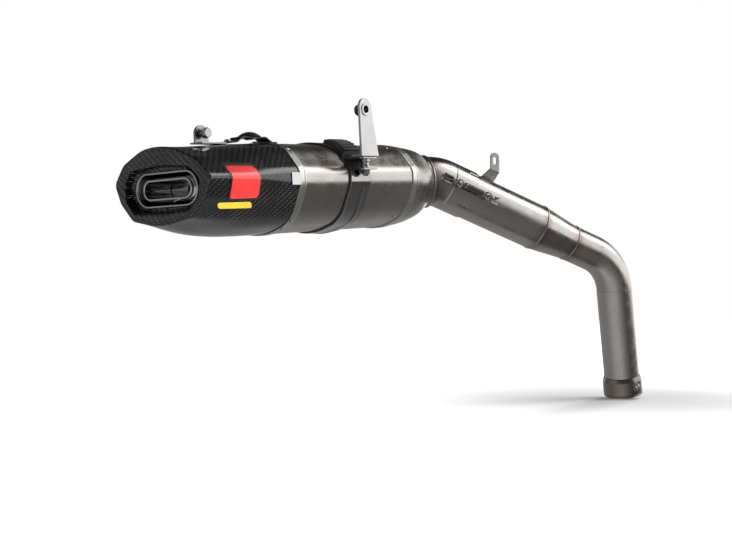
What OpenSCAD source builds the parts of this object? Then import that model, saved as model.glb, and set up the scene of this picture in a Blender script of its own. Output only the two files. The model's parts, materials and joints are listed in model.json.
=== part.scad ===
// Under-seat slip-on exhaust: an oval-hexagonal silencer with a moulded carbon end cap, its
// clamp and hanger, a slip joint held by springs, and a reducing link pipe that ends in a socket.
// Millimetres. The origin is the centre of the socket's open end. +X is forwards, from the outlet
// towards the link pipe, +Y is left and +Z is up.

/* [Silencer] */
// Half of the sleeve's width
sleeve_half_w = 68.5; // [62:0.5:74]
// Height of the sleeve above its axis
sleeve_half_h = 51.5; // [46:0.5:56]
// Thickness of the sleeve's sheet
sleeve_wall = 1; // [0.8:0.1:1.5]
// Nose-up tilt of the silencer's axis
silencer_tilt = 5.2; // [4:0.1:8]
// Rear edge of the sleeve, measured along the silencer's axis
sleeve_rear = -78; // [-90:1:-70]
// Front edge of the sleeve
sleeve_front = 120; // [110:1:130]
// Width of the two trim bands
band_w = 10; // [8:0.5:12]
// Station of the neck, where the inlet pipe leaves the front cap
neck_station = 233; // [225:1:240]
// Outside diameter of the perforated core tube
core_od = 54; // [50:1:56]

/* [Outlet] */
// Station of the middle of the end cap's rear face
face_station = -231; // [-238:1:-225]
// Station of the outlet's outer lip, inside the recess of that face
outlet_face = -219; // [-224:1:-215]
// Width of the outlet's outer lip
outlet_w = 96; // [90:1:100]
// Height of the outlet's outer lip
outlet_h = 37.5; // [34:0.5:40]
// Width of the noise insert's mouth
insert_w = 73; // [68:1:76]
// Height of the noise insert's mouth
insert_h = 20; // [18:0.5:24]

/* [Pipes] */
// Outside diameter of the silencer's inlet pipe
inlet_od = 66; // [65:0.5:68]
// Outside diameter of the link pipe at the slip joint
upper_od = 63; // [61:0.5:63]
// Outside diameter of the link pipe below the reducer
lower_od = 51; // [48:0.5:54]
// Wall of the tubes
tube_wall = 1.2; // [1:0.1:1.6]
// Radius of the lower bend at the middle of the tube
lower_bend_r = 68; // [60:1:75]
// Depth of the bottom socket
socket_depth = 22; // [18:1:24]

/* [Clamp] */
// Width of the clamp band
clamp_w = 35; // [30:1:38]
// Station of the clamp's middle
clamp_station = 15; // [5:1:20]
// Height of the hanger plate above its foot
hanger_h = 66; // [55:0.5:70]

/* [Hidden] */

$fn = 64;
up = [0, 0, 1];
gap = 0.3;              // clearance between neighbouring pieces that move
skin = 0.05;            // clearance between neighbouring pieces that stay put
ring_points = 56;       // points round each lofted ring
cap_wall = 2;           // moulded carbon
titanium = "lightslategray";
carbon = [0.12, 0.12, 0.13];
steel = "silver";
rubber = [0.1, 0.1, 0.1];

// Where the main pieces stand
silencer_pos = [-546, 135, 271];
lower_corner = [-47.5, -7, 191];
socket_pos = [0, 0, 0];

// ---- vector helpers ----
function unit(v) = v / norm(v);
function lerp(a, b, t) = a * (1 - t) + b * t;
function smooth(t) = t * t * (3 - 2 * t);
function from_silencer(p) = silencer_pos + [
    p.x * cos(silencer_tilt) - p.z * sin(silencer_tilt),
    p.y,
    p.x * sin(silencer_tilt) + p.z * cos(silencer_tilt)
];

// ---- the pipe's route ----
stub_pitch = 5.3;
stub_run = 18.8;        // from the neck to the inlet pipe's corner, on the level
inlet_bend_r = 60;
joint_run = 48.5;       // from that corner to the slip joint
insertion = 30;         // how far the link pipe reaches into the inlet pipe
neck_rise = 3.3;        // height of the neck's centre above the silencer's axis
neck_pos = from_silencer([neck_station, 0, neck_rise]);
route_yaw = atan2(lower_corner.y - neck_pos.y, lower_corner.x - neck_pos.x);
level_dir = [cos(route_yaw), sin(route_yaw), 0];
stub_dir = unit(level_dir + up * tan(stub_pitch));
upper_corner = neck_pos + stub_dir * stub_run / cos(stub_pitch);
link_dir = unit(lower_corner - upper_corner);
down_dir = unit(socket_pos - lower_corner);
joint_pos = upper_corner + link_dir * joint_run;
seam_1 = joint_pos + link_dir * 118;
seam_2 = joint_pos + link_dir * 176;
collar_h = 28;
collar_od = 56;
link_left = unit(cross(up, link_dir));
link_up = cross(link_dir, link_left);
spring_station = 52;    // length of a spring between its two hooks
spring_radius = 41;     // from the pipe's axis to the springs
hook_back = -34;        // station of the silencer's spring hooks, from the slip joint
hook_front = hook_back + spring_station;

// ---- outlines: corners are [y, z, fillet radius], listed anticlockwise from the left side ----
function fillet(a, b, c, n) =
    let (u = unit([a[0] - b[0], a[1] - b[1]]), v = unit([c[0] - b[0], c[1] - b[1]]),
         half = acos(u * v) / 2, corner = [b[0], b[1]],
         centre = corner + unit(u + v) * b[2] / sin(half),
         start = corner + u * b[2] / tan(half) - centre,
         stop = corner + v * b[2] / tan(half) - centre,
         first = atan2(start[1], start[0]),
         turn = atan2(start[0] * stop[1] - start[1] * stop[0], start * stop))
    [for (i = [0:n]) centre + b[2] * [cos(first + turn * i / n), sin(first + turn * i / n)]];
function outline(corners, n = 5) =
    let (m = len(corners))
    [for (i = [0:m - 1])
        each fillet(corners[(i + m - 1) % m], corners[i], corners[(i + 1) % m], n)];
function sleeve_corners(grow = 0) =
    let (w = sleeve_half_w + grow, h = sleeve_half_h + grow, g = grow * 0.75)
    [[w, -1, 26], [w, 15, 20], [46.5 + g, 42 + g, 36], [0, h + 0.5, 120],
     [-46.5 - g, 42 + g, 36], [-w, 15, 20], [-w, -1, 26], [-50 - g, -41 - g, 40],
     [0, -h - 6, 80], [50 + g, -41 - g, 40]];
function face_corners(grow = 0) =
    [[65.5 + grow, -12 - grow / 2, 14], [75 + grow, 9, 8], [57 + grow, 28.5 + grow, 25],
     [24, 41.5 + grow, 60], [0, 45.2 + grow, 120], [-24, 41.5 + grow, 60],
     [-57 - grow, 28.5 + grow, 25], [-75 - grow, 9, 8], [-65.5 - grow, -12 - grow / 2, 14],
     [-45 - grow, -31.5 - grow, 12], [0, -39.5 - grow, 90], [45 + grow, -31.5 - grow, 12]];
function recess_corners(grow = 0) =
    [[56 + grow, -9, 12], [59 + grow, 7, 8], [46 + grow, 22 + grow, 14], [0, 26 + grow, 100],
     [-46 - grow, 22 + grow, 14], [-59 - grow, 7, 8], [-56 - grow, -9, 12],
     [-42 - grow, -23 - grow, 12], [0, -26 - grow, 100], [42 + grow, -23 - grow, 12]];
outlet_z = 0;
function stadium_corners(w, h) =
    let (a = w / 2, b = h / 2, r = b - 0.01)
    [[a, outlet_z + b, r], [-a, outlet_z + b, r], [-a, outlet_z - b, r], [a, outlet_z - b, r]];
module stadium(w, h) {
    translate([-(w - h) / 2, outlet_z])
        circle(d = h);
    translate([(w - h) / 2, outlet_z])
        circle(d = h);
    translate([-(w - h) / 2, outlet_z - h / 2])
        square([w - h, h]);
}
module stadium_ring(w, h, wall) {
    difference() {
        stadium(w, h);
        stadium(w - 2 * wall, h - 2 * wall);
    }
}

// Distance from the centre to an outline along one direction
function reach(pts, angle, centre = [0, 0]) =
    let (dir = [cos(angle), sin(angle)], n = len(pts))
    max([for (i = [0:n - 1])
        let (p = pts[i] - centre, e = pts[(i + 1) % n] - pts[i],
             den = dir[0] * e[1] - dir[1] * e[0],
             t = abs(den) < 1e-9 ? 0 : (p[0] * e[1] - p[1] * e[0]) / den,
             u = abs(den) < 1e-9 ? -1 : (p[0] * dir[1] - p[1] * dir[0]) / den)
        (t > 0 && u >= -1e-6 && u <= 1 + 1e-6) ? t : 0]);
function spread(i) = atan2(0.7 * sin(360 * i / ring_points), cos(360 * i / ring_points));
function sampled(corners, centre = [0, 0]) =
    let (pts = outline(corners))
    [for (i = [0:ring_points - 1])
        let (a = spread(i)) centre + reach(pts, a, centre) * [cos(a), sin(a)]];

// ---- placing ----
module in_silencer() {
    translate(silencer_pos)
        rotate([0, -silencer_tilt, 0])
            children();
}
// Extrudes a [y, z] outline along the silencer from one station to another
module along(from, to) {
    translate([from, 0, 0])
        rotate([90, 0, 90])
            linear_extrude(to - from)
                children();
}
// Stands its children at a point with their +Z along a direction, +X level and to the left
module place(origin, dir) {
    z = unit(dir);
    x = unit(cross(up, z));
    y = cross(z, x);
    multmatrix([[x.x, y.x, z.x, origin.x], [x.y, y.y, z.y, origin.y], [x.z, y.z, z.z, origin.z]])
        children();
}
module tube(od, wall, from, to) {
    translate([0, 0, from])
        difference() {
            cylinder(d = od, h = to - from);
            translate([0, 0, -1])
                cylinder(d = od - 2 * wall, h = to - from + 2);
        }
}
// A bend that leads from one direction to another round a corner point
module bend(corner, dir_in, dir_out, radius) {
    turn = acos(dir_in * dir_out);
    centre = corner + unit(dir_out - dir_in) * radius / cos(turn / 2);
    e1 = unit(corner - dir_in * radius * tan(turn / 2) - centre);
    e3 = unit(cross(dir_in, dir_out));
    e2 = cross(e3, e1);
    multmatrix([[e1.x, e2.x, e3.x, centre.x], [e1.y, e2.y, e3.y, centre.y],
                [e1.z, e2.z, e3.z, centre.z]])
        rotate_extrude(angle = turn)
            translate([radius, 0])
                children();
}
module annulus(od, wall) {
    difference() {
        circle(d = od);
        circle(d = od - 2 * wall);
    }
}
function bend_run(dir_in, dir_out, radius) = radius * tan(acos(dir_in * dir_out) / 2);
module hex(across, h) {
    cylinder(d = across / cos(30), h = h, $fn = 6);
}
// Joins closed rings of points, and the last ring to the first, into one solid shell
module shell(rings) {
    n = len(rings[0]);
    m = len(rings);
    polyhedron(
        points = [for (ring = rings) each ring],
        faces = [for (i = [0:m - 1], j = [0:n - 1])
            let (k = (i + 1) % m, l = (j + 1) % n)
            each [[i * n + j, k * n + j, k * n + l], [i * n + j, k * n + l, i * n + l]]]);
}

// ---- end cap ----
cap_front = sleeve_rear - 1;
recess_depth = 13;      // from the rear face to the floor round the outlet
duct_ledge = 16;        // from the rear face to the edge that holds the duct
// The sides of the rear face are swept forwards
function face_x(p, depth) = face_station + 6 * pow(p[0] / 75, 2) + depth;
function face_ring(pts, depth) = [for (p = pts) [face_x(p, depth), p[0], p[1]]];
// Side wall: t runs from 0 at the front edge to 1 at the rim, where the underside tucks up
function cap_ring(inset, depth, t) =
    let (front = sampled(sleeve_corners(-inset)), rim = sampled(face_corners(-inset)))
    [for (i = [0:ring_points - 1])
        let (tuck = rim[i][1] < 0 ? pow(t, 4) : smooth(t),
             y = lerp(front[i][0], rim[i][0], smooth(t)), z = lerp(front[i][1], rim[i][1], tuck))
        [lerp(cap_front, face_x([y, z], depth), t), y, z]];
module end_cap() {
    side = [0, 0.25, 0.5, 0.7, 0.85, 0.95, 1];
    duct = sampled(stadium_corners(outlet_w - 1.2, outlet_h - 1.2), [0, outlet_z]);
    recess = sampled(recess_corners());
    color(carbon)
        in_silencer()
            shell(concat(
                [for (t = side) cap_ring(0, 2, t)],
                [face_ring(sampled(face_corners(-2)), 0), face_ring(recess, 2),
                 face_ring(sampled(recess_corners(-1.5)), recess_depth), face_ring(duct, duct_ledge),
                 face_ring(duct, duct_ledge + cap_wall),
                 face_ring(sampled(recess_corners(1.5)), recess_depth + cap_wall),
                 face_ring(sampled(face_corners(-cap_wall - 1)), 2 + cap_wall)],
                [for (i = [len(side) - 2:-1:0]) cap_ring(cap_wall, 2 + cap_wall, side[i])]));
}

// ---- sleeve and bands ----
module sleeve_ring(inner, outer) {
    difference() {
        polygon(outline(sleeve_corners(outer)));
        polygon(outline(sleeve_corners(inner)));
    }
}
module outer_sleeve() {
    color(titanium)
        in_silencer()
            along(sleeve_rear, sleeve_front)
                sleeve_ring(-sleeve_wall, 0);
}
band_t = 1.3;
band_gap = 0.3;
tab_l = 13;
tab_z = [-1, 12.5];
module rear_band() {
    edge = sleeve_rear + 1;
    color(titanium)
        in_silencer() {
            along(edge - band_w - 1, edge)
                sleeve_ring(band_gap, band_t);
            for (side = [0, 1])
                mirror([0, side, 0])
                    translate([edge - band_w - 1 - tab_l, sleeve_half_w + 0.6, tab_z[0]])
                        cube([tab_l + 1, band_t - 0.6, tab_z[1] - tab_z[0]]);
        }
}
module front_band() {
    color(titanium)
        in_silencer()
            along(sleeve_front - 2, sleeve_front + band_w)
                sleeve_ring(skin, band_t);
}

// ---- front cap: it tapers from the sleeve's outline to the round, angled neck ----
dome_start = sleeve_front + skin;
neck_in = inlet_od / 2 + 0.25;
neck_dir = [stub_dir.x * cos(silencer_tilt) + stub_dir.z * sin(silencer_tilt), stub_dir.y,
            stub_dir.z * cos(silencer_tilt) - stub_dir.x * sin(silencer_tilt)];
neck_left = unit(cross(up, neck_dir));
neck_up = cross(neck_dir, neck_left);
function neck_ring_points(r) =
    [for (i = [0:ring_points - 1])
        let (a = spread(i))
        [neck_station, 0, neck_rise] + r * cos(a) * neck_left + r * sin(a) * neck_up];
function dome_ring(inset, t) =
    let (front = sampled(sleeve_corners(-inset)), neck = neck_ring_points(neck_in + 1.2 - inset),
         shrink = pow(min(1, t / 0.92), 2.4))
    [for (i = [0:ring_points - 1])
        let (x = lerp(dome_start, neck[i].x, t), back = (neck[i].x - x) * pow(shrink, 4),
             rim = neck[i] - neck_dir * back / neck_dir.x)
        [x, lerp(front[i][0], rim.y, shrink), lerp(front[i][1], rim.z, shrink)]];
module front_cap() {
    steps = 12;
    color(titanium)
        in_silencer()
            shell(concat(
                [for (i = [0:steps]) dome_ring(1.2, 1 - i / steps)],
                [for (i = [0:steps]) dome_ring(0, i / steps)]));
}
module neck_ring() {
    color(titanium)
        place(neck_pos, stub_dir)
            tube(inlet_od + 5, 2.5 - skin, 0.3, 4);
}

// ---- inlet pipe: stub, bend and a slotted socket ----
socket_wall = (inlet_od - upper_od) / 2 - skin;
slot_w = 1.8;
slot_l = 14;
inlet_run = bend_run(stub_dir, link_dir, inlet_bend_r);
neck_reach = 6;         // how far the neck's tube goes into the front cap
module neck_tube() {
    color(titanium)
        place(neck_pos, stub_dir)
            tube(inlet_od, socket_wall, -neck_reach, norm(upper_corner - neck_pos) - inlet_run);
}
module inlet_bend() {
    color(titanium)
        bend(upper_corner, stub_dir, link_dir, inlet_bend_r)
            annulus(inlet_od, socket_wall);
}
module slip_socket() {
    color(titanium)
        place(joint_pos, link_dir)
            difference() {
                tube(inlet_od, socket_wall, inlet_run - joint_run, 0);
                for (turn = [45:90:315])
                    rotate([0, 0, turn])
                        translate([inlet_od / 2 - 4, -slot_w / 2, -slot_l])
                            cube([8, slot_w, slot_l + 1]);
            }
}
// A welded plate with a hole for a spring's loop, and the bent strap that braces it. The plate's
// root runs between two stations, and the strap's legs run away from the spring.
strap_w = 12;
strap_t = 2;
strap_h = 6.4;
module spring_hook(root_r, root, station, strap_at, strap_l, away) {
    difference() {
        hull() {
            translate([root_r, -1.25, root[0]])
                cube([1, 2.5, root[1] - root[0]]);
            translate([spring_radius, -1.25, station])
                rotate([-90, 0, 0])
                    cylinder(r = 5.5, h = 2.5);
        }
        translate([spring_radius, -3, station])
            rotate([-90, 0, 0])
                cylinder(r = 3.2, h = 6);
    }
    translate([root_r, 0, strap_at])
        rotate([0, 90 * away, 0])
            mirror([0, 0, (1 - away) / 2])
                linear_extrude(strap_h)
                    difference() {
                        union() {
                            circle(d = strap_w);
                            translate([0, -strap_w / 2])
                                square([strap_l, strap_w]);
                        }
                        circle(d = strap_w - 2 * strap_t);
                        translate([0, strap_t - strap_w / 2])
                            square([strap_l + 1, strap_w - 2 * strap_t]);
                    }
}
module inlet_hooks() {
    color(steel)
        place(joint_pos, link_dir)
            for (side = [0, 180])
                rotate([0, 0, side])
                    spring_hook(inlet_od / 2 + skin, [hook_back - 18, hook_back + 2], hook_back,
                        hook_back - 10, 9, 1);
}

// ---- outlet duct, baffles, core and packing ----
duct_depth = 52;
module outlet_duct() {
    lip = 2;
    color(titanium)
        in_silencer() {
            along(outlet_face + lip, outlet_face + duct_depth)
                stadium_ring(outlet_w - 2.2, outlet_h - 2.2, 1.5);
            along(outlet_face, outlet_face + lip)
                stadium_ring(outlet_w, outlet_h, 2.6);
        }
}
baffle_t = 1.5;
rear_baffle_x = outlet_face + duct_depth + skin;
front_baffle_x = sleeve_front - 8;
module rear_baffle() {
    color(titanium)
        in_silencer()
            along(rear_baffle_x, rear_baffle_x + baffle_t)
                difference() {
                    polygon(outline(sleeve_corners(-11)));
                    circle(d = core_od + 2 * skin);
                }
}
module front_baffle() {
    color(titanium)
        in_silencer()
            along(front_baffle_x, front_baffle_x + baffle_t)
                difference() {
                    polygon(outline(sleeve_corners(-sleeve_wall - 0.2)));
                    circle(d = core_od + 2 * skin);
                }
}
core_rear = rear_baffle_x;
core_front = front_baffle_x + 10;
module core_tube() {
    hole_rows = 7;
    pitch = 36;
    color(steel)
        in_silencer()
            difference() {
                translate([core_rear, 0, 0])
                    rotate([0, 90, 0])
                        tube(core_od, 1, 0, core_front - core_rear);
                for (row = [0:hole_rows - 1], turn = [0:60:120])
                    translate([core_rear + 40 + row * pitch, 0, 0])
                        rotate([turn + 15, 0, 0])
                            cylinder(d = 6, h = core_od + 10, center = true);
            }
}
module packing() {
    color("khaki")
        in_silencer()
            along(rear_baffle_x + baffle_t + 92, front_baffle_x - skin)
                difference() {
                    polygon(outline(sleeve_corners(-sleeve_wall - 0.2)));
                    circle(d = core_od + 0.4);
                }
}

// ---- rivets and badge ----
// Stands its children on the sleeve's surface, +Z outwards
module on_sleeve(station, angle, grow = 0) {
    pts = outline(sleeve_corners(grow));
    here = reach(pts, angle) * [cos(angle), sin(angle)];
    next = reach(pts, angle + 1) * [cos(angle + 1), sin(angle + 1)];
    lean = atan2(next[1] - here[1], next[0] - here[0]);
    translate([station, here[0], here[1]])
        rotate([lean, 0, 0])
            rotate([180, 0, 0])
                children();
}
module rivet(d = 7) {
    rotate_extrude($fn = 32)
        intersection() {
            translate([0, -d * 0.62])
                circle(r = d * 0.8, $fn = 48);
            translate([0, skin])
                square([d / 2, d]);
        }
}
module cap_rivets() {
    color(steel)
        in_silencer()
            for (angle = [40, 90, 140, 222, 238, 302, 318])
                on_sleeve(sleeve_rear - 5, angle, band_t)
                    rivet();
}
module front_rivets() {
    color(steel)
        in_silencer()
            for (angle = [50, 130, 225, 315])
                on_sleeve(sleeve_front - 12, angle)
                    rivet();
}
// A point on the cap's side wall, moved outwards to the right
function cap_point(angle, t, out) =
    let (dir = [cos(angle), sin(angle)],
         front = reach(outline(sleeve_corners(0)), angle) * dir,
         rim = reach(outline(face_corners(0)), angle) * dir,
         tuck = rim[1] < 0 ? pow(t, 4) : smooth(t),
         y = lerp(front[0], rim[0], smooth(t)), z = lerp(front[1], rim[1], tuck))
    [lerp(cap_front, face_x([y, z], 2), t), y - out, z];
// A thin plate that follows the right side wall: t along it, angle round it, ends slanted
module side_plate(t, angle, out, thickness) {
    slant = 0.04;
    nt = 6;
    na = 10;
    function grid(out) = [for (i = [0:nt], j = [0:na])
        cap_point(lerp(angle[0], angle[1], j / na),
                  lerp(t[0], t[1], i / nt) + slant * (0.5 - j / na), out)];
    row = na + 1;
    last = (nt + 1) * row;
    function quad(a, b, c, d) = [[a, b, c], [a, c, d]];
    polyhedron(
        points = concat(grid(out), grid(out + thickness)),
        faces = concat(
            [for (i = [0:nt - 1], j = [0:na - 1]) let (k = i * row + j)
                each quad(k, k + 1, k + row + 1, k + row)],
            [for (i = [0:nt - 1], j = [0:na - 1]) let (k = last + i * row + j)
                each quad(k, k + row, k + row + 1, k + 1)],
            [for (i = [0:nt - 1]) let (k = i * row)
                each quad(k, k + row, k + row + last, k + last)],
            [for (i = [0:nt - 1]) let (k = i * row + na)
                each quad(k, k + last, k + row + last, k + row)],
            [for (j = [0:na - 1]) each quad(j, j + last, j + 1 + last, j + 1)],
            [for (j = [0:na - 1]) let (k = nt * row + j)
                each quad(k, k + 1, k + 1 + last, k + last)]));
}
badge_t = [0.507, 0.796];
module badge_base() {
    color("black")
        in_silencer()
            side_plate([badge_t[0] - 0.018, badge_t[1] + 0.014], [159.5, 194], 0.3, 0.3);
}
module badge_plate() {
    color("firebrick")
        in_silencer()
            side_plate(badge_t, [163, 192.5], 0.75, 0.4);
}
module badge_strip() {
    color("gold")
        in_silencer()
            side_plate([badge_t[0] + 0.01, badge_t[1] + 0.045], [196, 202.5], 0.3, 0.4);
}

// ---- brackets on top of the end cap ----
top_z = sleeve_half_h - 2.1;
bracket_z = top_z - 2.3;
module rear_bracket() {
    plate_t = 2.5;
    color(steel)
        in_silencer()
            translate([-163, 0, bracket_z]) {
                difference() {
                    translate([0, 1 + plate_t, 0])
                        rotate([90, 0, 0])
                            linear_extrude(plate_t) {
                                translate([-10, 0])
                                    square([20, 11]);
                                translate([0, 11])
                                    circle(r = 10);
                            }
                    translate([0, 10, 12])
                        rotate([90, 0, 0])
                            cylinder(d = 6.6, h = 20);
                }
                translate([-15, -12, 0])
                    cube([41, 13 + plate_t, 2]);
            }
}
module rear_bracket_bolt() {
    color(steel)
        in_silencer()
            translate([-163, 0, bracket_z + 12])
                rotate([90, 0, 0]) {
                    translate([0, 0, -9])
                        cylinder(d = 6, h = 14);
                    translate([0, 0, 5])
                        hex(10, 4.5);
                    translate([0, 0, 3.6])
                        cylinder(d = 12, h = 1.4);
                }
}
module rear_bracket_nut() {
    color(steel)
        in_silencer()
            translate([-163, 3.5 + skin, bracket_z + 12])
                rotate([-90, 0, 0])
                    difference() {
                        hex(10, 5);
                        translate([0, 0, -1])
                            cylinder(d = 6 + 2 * skin, h = 7);
                    }
}
bridge_x = [-131, -56];
bridge_rise = 7;
module seat_bridge() {
    legs = [bridge_x[0] + 12, bridge_x[1] - 10];
    t = 1.6;
    color(rubber)
        in_silencer()
            translate([0, 9, top_z])
                difference() {
                    rotate([90, 0, 0])
                        linear_extrude(18)
                            polygon([[bridge_x[0], 0], [legs[0], 0], [legs[0] + 8, bridge_rise - t],
                                     [legs[1] - 8, bridge_rise - t], [legs[1], 0], [bridge_x[1], 0],
                                     [bridge_x[1], t], [legs[1] + 0.9, t],
                                     [legs[1] - 7.1, bridge_rise], [legs[0] + 7.1, bridge_rise],
                                     [legs[0] - 0.9, t], [bridge_x[0], t]]);
                    translate([(legs[0] + legs[1]) / 2, -9, 0])
                        cylinder(d = 10, h = 20);
                }
}
module bridge_rivets() {
    color(steel)
        in_silencer()
            for (x = [bridge_x[0] + 5, bridge_x[1] - 5])
                translate([x, 0, top_z + 1.6])
                    rivet(8);
}
module bridge_grommet() {
    dome_r = 13.5;
    dome_h = 5.8;
    ball = (pow(dome_r, 2) + pow(dome_h, 2)) / (2 * dome_h);
    color(rubber)
        in_silencer()
            translate([(bridge_x[0] + bridge_x[1]) / 2 + 1, 0, top_z + bridge_rise])
                rotate_extrude()
                    union() {
                        intersection() {
                            translate([0, dome_h - ball])
                                circle(r = ball, $fn = 128);
                            translate([0, skin])
                                square([dome_r, dome_h]);
                        }
                        translate([0, -3])
                            square([5 - skin, 3.1]);
                    }
}

// ---- noise insert: an inner mouth, a carrier plate that fits the duct, and a short tube ----
carrier_x = outlet_face + duct_depth - 14;
carrier_t = 2;
screw_y = 41;           // the holding screw, from the middle of the mouth
module noise_insert() {
    lip = 2;
    plate_w = outlet_w - 2.2 - 3 - 2 * gap;
    plate_h = outlet_h - 2.2 - 3 - 2 * gap;
    color(steel)
        in_silencer() {
            along(outlet_face + 1, outlet_face + 1 + lip)
                stadium_ring(insert_w + 3, insert_h + 3, 3);
            along(outlet_face + 1 + lip, carrier_x)
                stadium_ring(insert_w, insert_h, 1.5);
            along(carrier_x, carrier_x + carrier_t)
                difference() {
                    stadium(plate_w, plate_h);
                    translate([0, outlet_z])
                        circle(d = insert_h - 3);
                    translate([-screw_y, outlet_z])
                        circle(d = 4 + 2 * skin);
                }
        }
}
module insert_tube() {
    color(steel)
        in_silencer()
            translate([carrier_x + carrier_t + skin, 0, outlet_z])
                rotate([0, 90, 0])
                    tube(insert_h + 1, 1.2, 0, 62);
}
module insert_screw() {
    color(steel)
        in_silencer()
            translate([carrier_x - skin, -screw_y, outlet_z])
                rotate([0, 90, 0]) {
                    translate([0, 0, -3])
                        cylinder(d = 6, h = 3);
                    cylinder(d = 4, h = 9);
                }
}

// ---- clamp ----
lining = [gap, 1.4];
band_out = 2.5;
ear_y = -86;
ear_z = [14, 26.5];
ear_t = 2;
bolt_y = -78;
module clamp_at() {
    in_silencer()
        translate([clamp_station, 0, 0])
            children();
}
module clamp_band() {
    half = clamp_w / 2;
    color("slategray")
        clamp_at()
            difference() {
                union() {
                    along(-half, half)
                        difference() {
                            sleeve_ring(lining[1] + skin, band_out);
                            translate([-95, ear_z[0] + ear_t])
                                square([45, ear_z[1] - ear_z[0] - ear_t]);
                        }
                    for (z = ear_z)
                        translate([-half + 3, ear_y, z])
                            cube([clamp_w - 6, 86 - sleeve_half_w - band_out + 3, ear_t]);
                    translate([-half + 3, ear_y + 15, ear_z[1]])
                        cube([clamp_w - 6, 13, ear_t]);
                }
                translate([0, bolt_y, 0])
                    cylinder(d = 6.6, h = 60);
                along(-half - 1, half + 1)
                    polygon(outline(sleeve_corners(lining[1] + skin)));
            }
}
module clamp_lining() {
    half = clamp_w / 2 + 1.5;
    color(rubber)
        clamp_at()
            along(-half, half)
                difference() {
                    sleeve_ring(lining[0], lining[1]);
                    translate([-95, ear_z[0] + ear_t + 3])
                        square([45, 5]);
                }
}
module clamp_pad() {
    ribs = 7;
    color(rubber)
        clamp_at()
            along(-15, 15)
                intersection() {
                    difference() {
                        sleeve_ring(band_out + skin, band_out + 7);
                        for (i = [0:ribs - 1])
                            rotate(121.5 + i * 4.5)
                                translate([72, -1])
                                    square([10, 2]);
                    }
                    polygon([[0, 0], [-30.6, 53], [-91.8, 53]]);
                }
}
module clamp_bolt() {
    color(steel)
        clamp_at()
            translate([0, bolt_y, 0]) {
                translate([0, 0, ear_z[0] - 7])
                    cylinder(d = 6, h = ear_z[1] - ear_z[0] + 7 + ear_t + 3 + gap);
                translate([0, 0, ear_z[1] + ear_t + 3 + 2 * gap])
                    cylinder(d = 11, h = 3.5);
            }
}
module clamp_nut() {
    color(steel)
        clamp_at()
            translate([0, bolt_y, ear_z[0] - 5 - skin])
                difference() {
                    hex(10, 5);
                    translate([0, 0, -1])
                        cylinder(d = 6 + 2 * skin, h = 7);
                }
}
module clamp_spacer() {
    h = ear_z[1] - ear_z[0] - ear_t - 2 * skin;
    color(steel)
        clamp_at()
            translate([0, bolt_y, ear_z[0] + ear_t + skin])
                difference() {
                    cylinder(d = 11, h = h);
                    translate([0, 0, -1])
                        cylinder(d = 6 + 2 * skin, h = h + 2);
                }
}

// ---- hanger ----
foot_z = ear_z[1] + ear_t + gap;
plate_y = -89;
hole_up = hanger_h - 13;
plate_base = [-18.5, 12.5];
eye_x = -7.5;           // station of the bush, from the clamp's middle
module hanger_bracket() {
    t = 3;
    color(steel)
        clamp_at()
            translate([0, 0, foot_z]) {
                difference() {
                    translate([-16, plate_y, 0])
                        cube([28, 20, t]);
                    translate([0, bolt_y, -1])
                        cylinder(d = 6.1, h = t + 2);
                }
                difference() {
                    translate([0, plate_y + t, 0])
                        rotate([90, 0, 0])
                            linear_extrude(t)
                                hull() {
                                    translate([plate_base[0], 0])
                                        square([plate_base[1] - plate_base[0], 1]);
                                    translate([eye_x, hanger_h - 10.5])
                                        circle(r = 10.5);
                                }
                    translate([eye_x, plate_y - 1, hole_up])
                        rotate([-90, 0, 0])
                            cylinder(d = 12, h = t + 2);
                }
            }
}
module hanger_bush() {
    color(steel)
        clamp_at()
            translate([eye_x, plate_y - 1, foot_z + hole_up])
                rotate([-90, 0, 0])
                    difference() {
                        union() {
                            cylinder(d = 12 - 2 * skin, h = 5);
                            cylinder(d = 14.5, h = 1 - skin);
                        }
                        translate([0, 0, -1])
                            cylinder(d = 8.2, h = 8);
                    }
}
module hanger_nut() {
    color(steel)
        clamp_at()
            translate([eye_x, plate_y + 4 + skin, foot_z + hole_up])
                rotate([-90, 0, 0])
                    difference() {
                        union() {
                            hex(12, 8);
                            cylinder(d = 16, h = 1.5);
                        }
                        translate([0, 0, -1])
                            cylinder(d = 6.8, h = 12);
                    }
}

// ---- springs: a covered coil between two round loops ----
loop_r = 6;
wire = 1.2;
module spring(side) {
    start = hook_back;
    color("dimgray")
        place(joint_pos, link_dir)
            rotate([0, 0, side])
                translate([spring_radius, 0, start]) {
                    for (z = [loop_r - 2.2, spring_station - loop_r + 2.2])
                        translate([0, 0, z])
                            rotate([0, 90, 0])
                                rotate_extrude()
                                    translate([loop_r - wire, 0])
                                        circle(r = wire, $fn = 24);
                    translate([0, 0, 2 * loop_r - 3.2])
                        cylinder(d = 8, h = spring_station - 4 * loop_r + 6.4);
                }
}
module near_spring() {
    spring(180);
}
module far_spring() {
    spring(0);
}

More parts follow.
